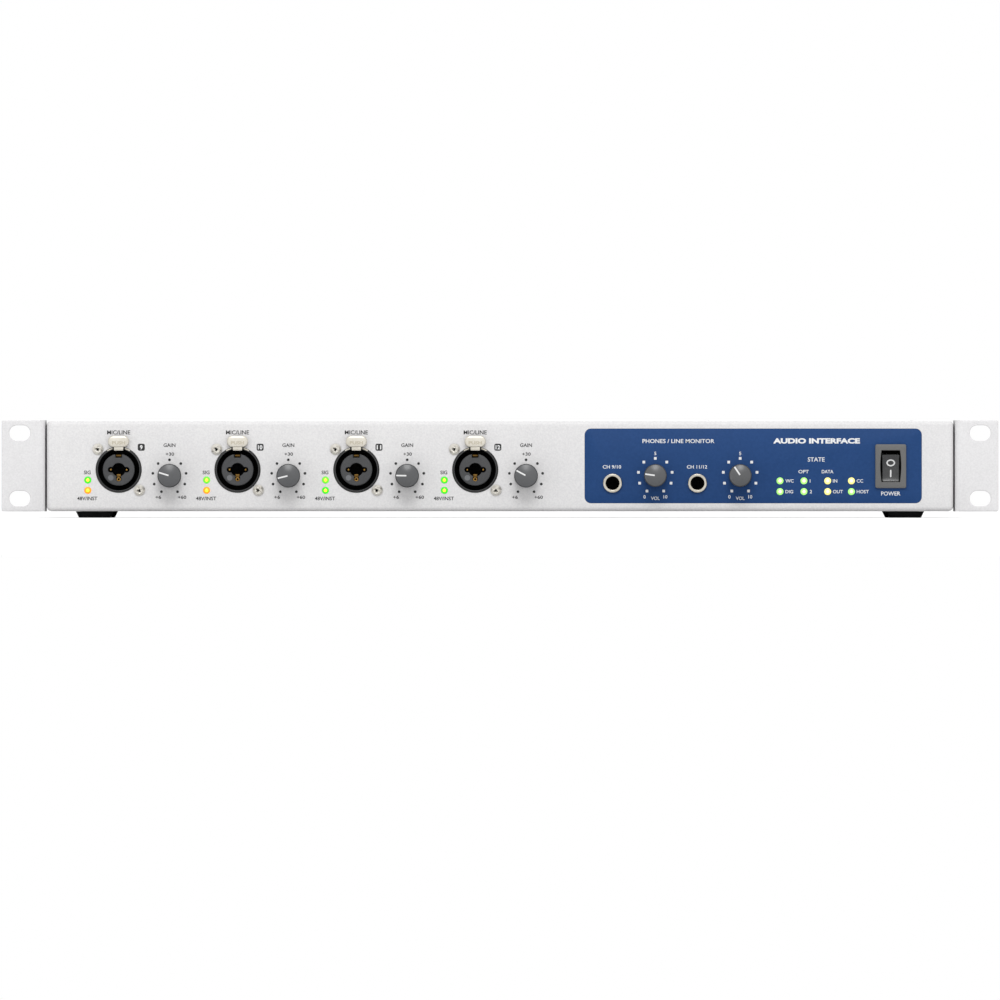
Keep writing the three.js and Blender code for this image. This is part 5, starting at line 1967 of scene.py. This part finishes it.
@dataclass
class Studio:
    """Floor, soft lights and the camera."""

    distance: float = 17.4856
    height: float = 0.00854
    lens: float = 1300.0

    def build(self) -> None:
        """Make floor, lights, sky and camera."""
        self.floor()
        self.sky()
        self.sun("key", (0.0, -1.15, 0.95))
        self.sun("key_rear", (0.0, 1.15, 0.95))
        self.camera()

    def floor(self) -> None:
        """Make a wide pale floor whose middle is gently subdivided."""
        mesh = bpy.data.meshes.new("studio_floor")
        reach, count = 12.0, 8
        step = 2 * reach / count
        ticks = [i * step - reach for i in range(count + 1)]
        points = [(x, y, -0.00005) for y in ticks for x in ticks]
        row = count + 1
        faces = [(j * row + i, j * row + i + 1, (j + 1) * row + i + 1, (j + 1) * row + i)
            for j in range(count) for i in range(count)]
        mesh.from_pydata(points, [], faces)
        mesh.materials.append(material_of(Skin.FLOOR))
        made = bpy.data.objects.new("studio_floor", mesh)
        bpy.context.scene.collection.objects.link(made)

    def sky(self) -> None:
        """Make an even white surround."""
        world = bpy.data.worlds.new("studio_sky")
        world.use_nodes = True
        tree = world.node_tree
        tree.nodes.clear()
        light = add_node(tree, "ShaderNodeBackground",
            inputs={"Color": (1, 1, 1, 1), "Strength": 1.0})
        add_node(tree, "ShaderNodeOutputWorld", inputs={"Surface": light.outputs["Background"]})
        bpy.context.scene.world = world
        bpy.context.scene.view_settings.view_transform = "Standard"

    def sun(self, name: str, where: tuple[float, float, float]) -> None:
        """Make a soft sun that shines on the unit from a place."""
        data = bpy.data.lights.new(name, "SUN")
        data.angle = 0.46
        data.energy = 1.2
        made = bpy.data.objects.new(name, data)
        made.location = where
        aim = Vector((0, 0, 0.02)) - made.location
        made.rotation_euler = aim.to_track_quat("-Z", "Y").to_euler()
        bpy.context.scene.collection.objects.link(made)

    def camera(self) -> None:
        """Make the level long-lens camera in front of the unit."""
        data = bpy.data.cameras.new("product_camera")
        data.lens = self.lens
        data.sensor_width = 36.0
        data.clip_end = 100.0
        made = bpy.data.objects.new("product_camera", data)
        made.location = (0.0, FRONT_FACE * MM - self.distance, self.height)
        made.rotation_euler = (math.pi / 2, 0.0, 0.0)
        bpy.context.scene.collection.objects.link(made)
        bpy.context.scene.camera = made


def corners(box: Sequence[Vector]) -> list[list[float]]:
    """Turn the two corners of a box into plain lists."""
    return [[float(c) for c in corner] for corner in box]


def main() -> None:
    """Build every sub-assembly in order."""
    logging.basicConfig(level=logging.INFO, format="%(message)s")
    Studio().build()
    Enclosure().build()
    for i in range(1, 5):
        ComboSocket(i).build()
    angles = (-73.0, -104.0, -89.0, -61.5)
    for i, (x, angle) in enumerate(zip(Layout.channels, angles), 1):
        place = x + Layout.gain_dx
        Knob(f"gain_cap_{i}", f"gain_knob_{i}", place, Layout.gain_z, 5.75, angle).build()
    for i, (x, angle) in enumerate(zip(Layout.volumes, (-82.0, -34.0)), 1):
        Knob(f"volume_cap_{i}", f"volume_knob_{i}", x, Layout.volume_z, 5.5, angle).build()
    Indicators().build()
    for i in (1, 2):
        PhonesJack(i).build()
        DataSocket(i).build()
        ClockSocket(i).build()
    PowerSwitch().build()
    MainsInlet().build()
    CordBail().build()
    ModeButton().build()
    HostPort().build()
    RemotePort().build()
    for i in range(1, 5):
        OpticalPort(i, i % 2 == 1).build()
    DigitalSockets().build()
    LineJacks().build()
    Hardware().build()
    InnerParts().build()
    FrontLegends().build()
    RearLegends().build()


if __name__ == "__main__":
    main()
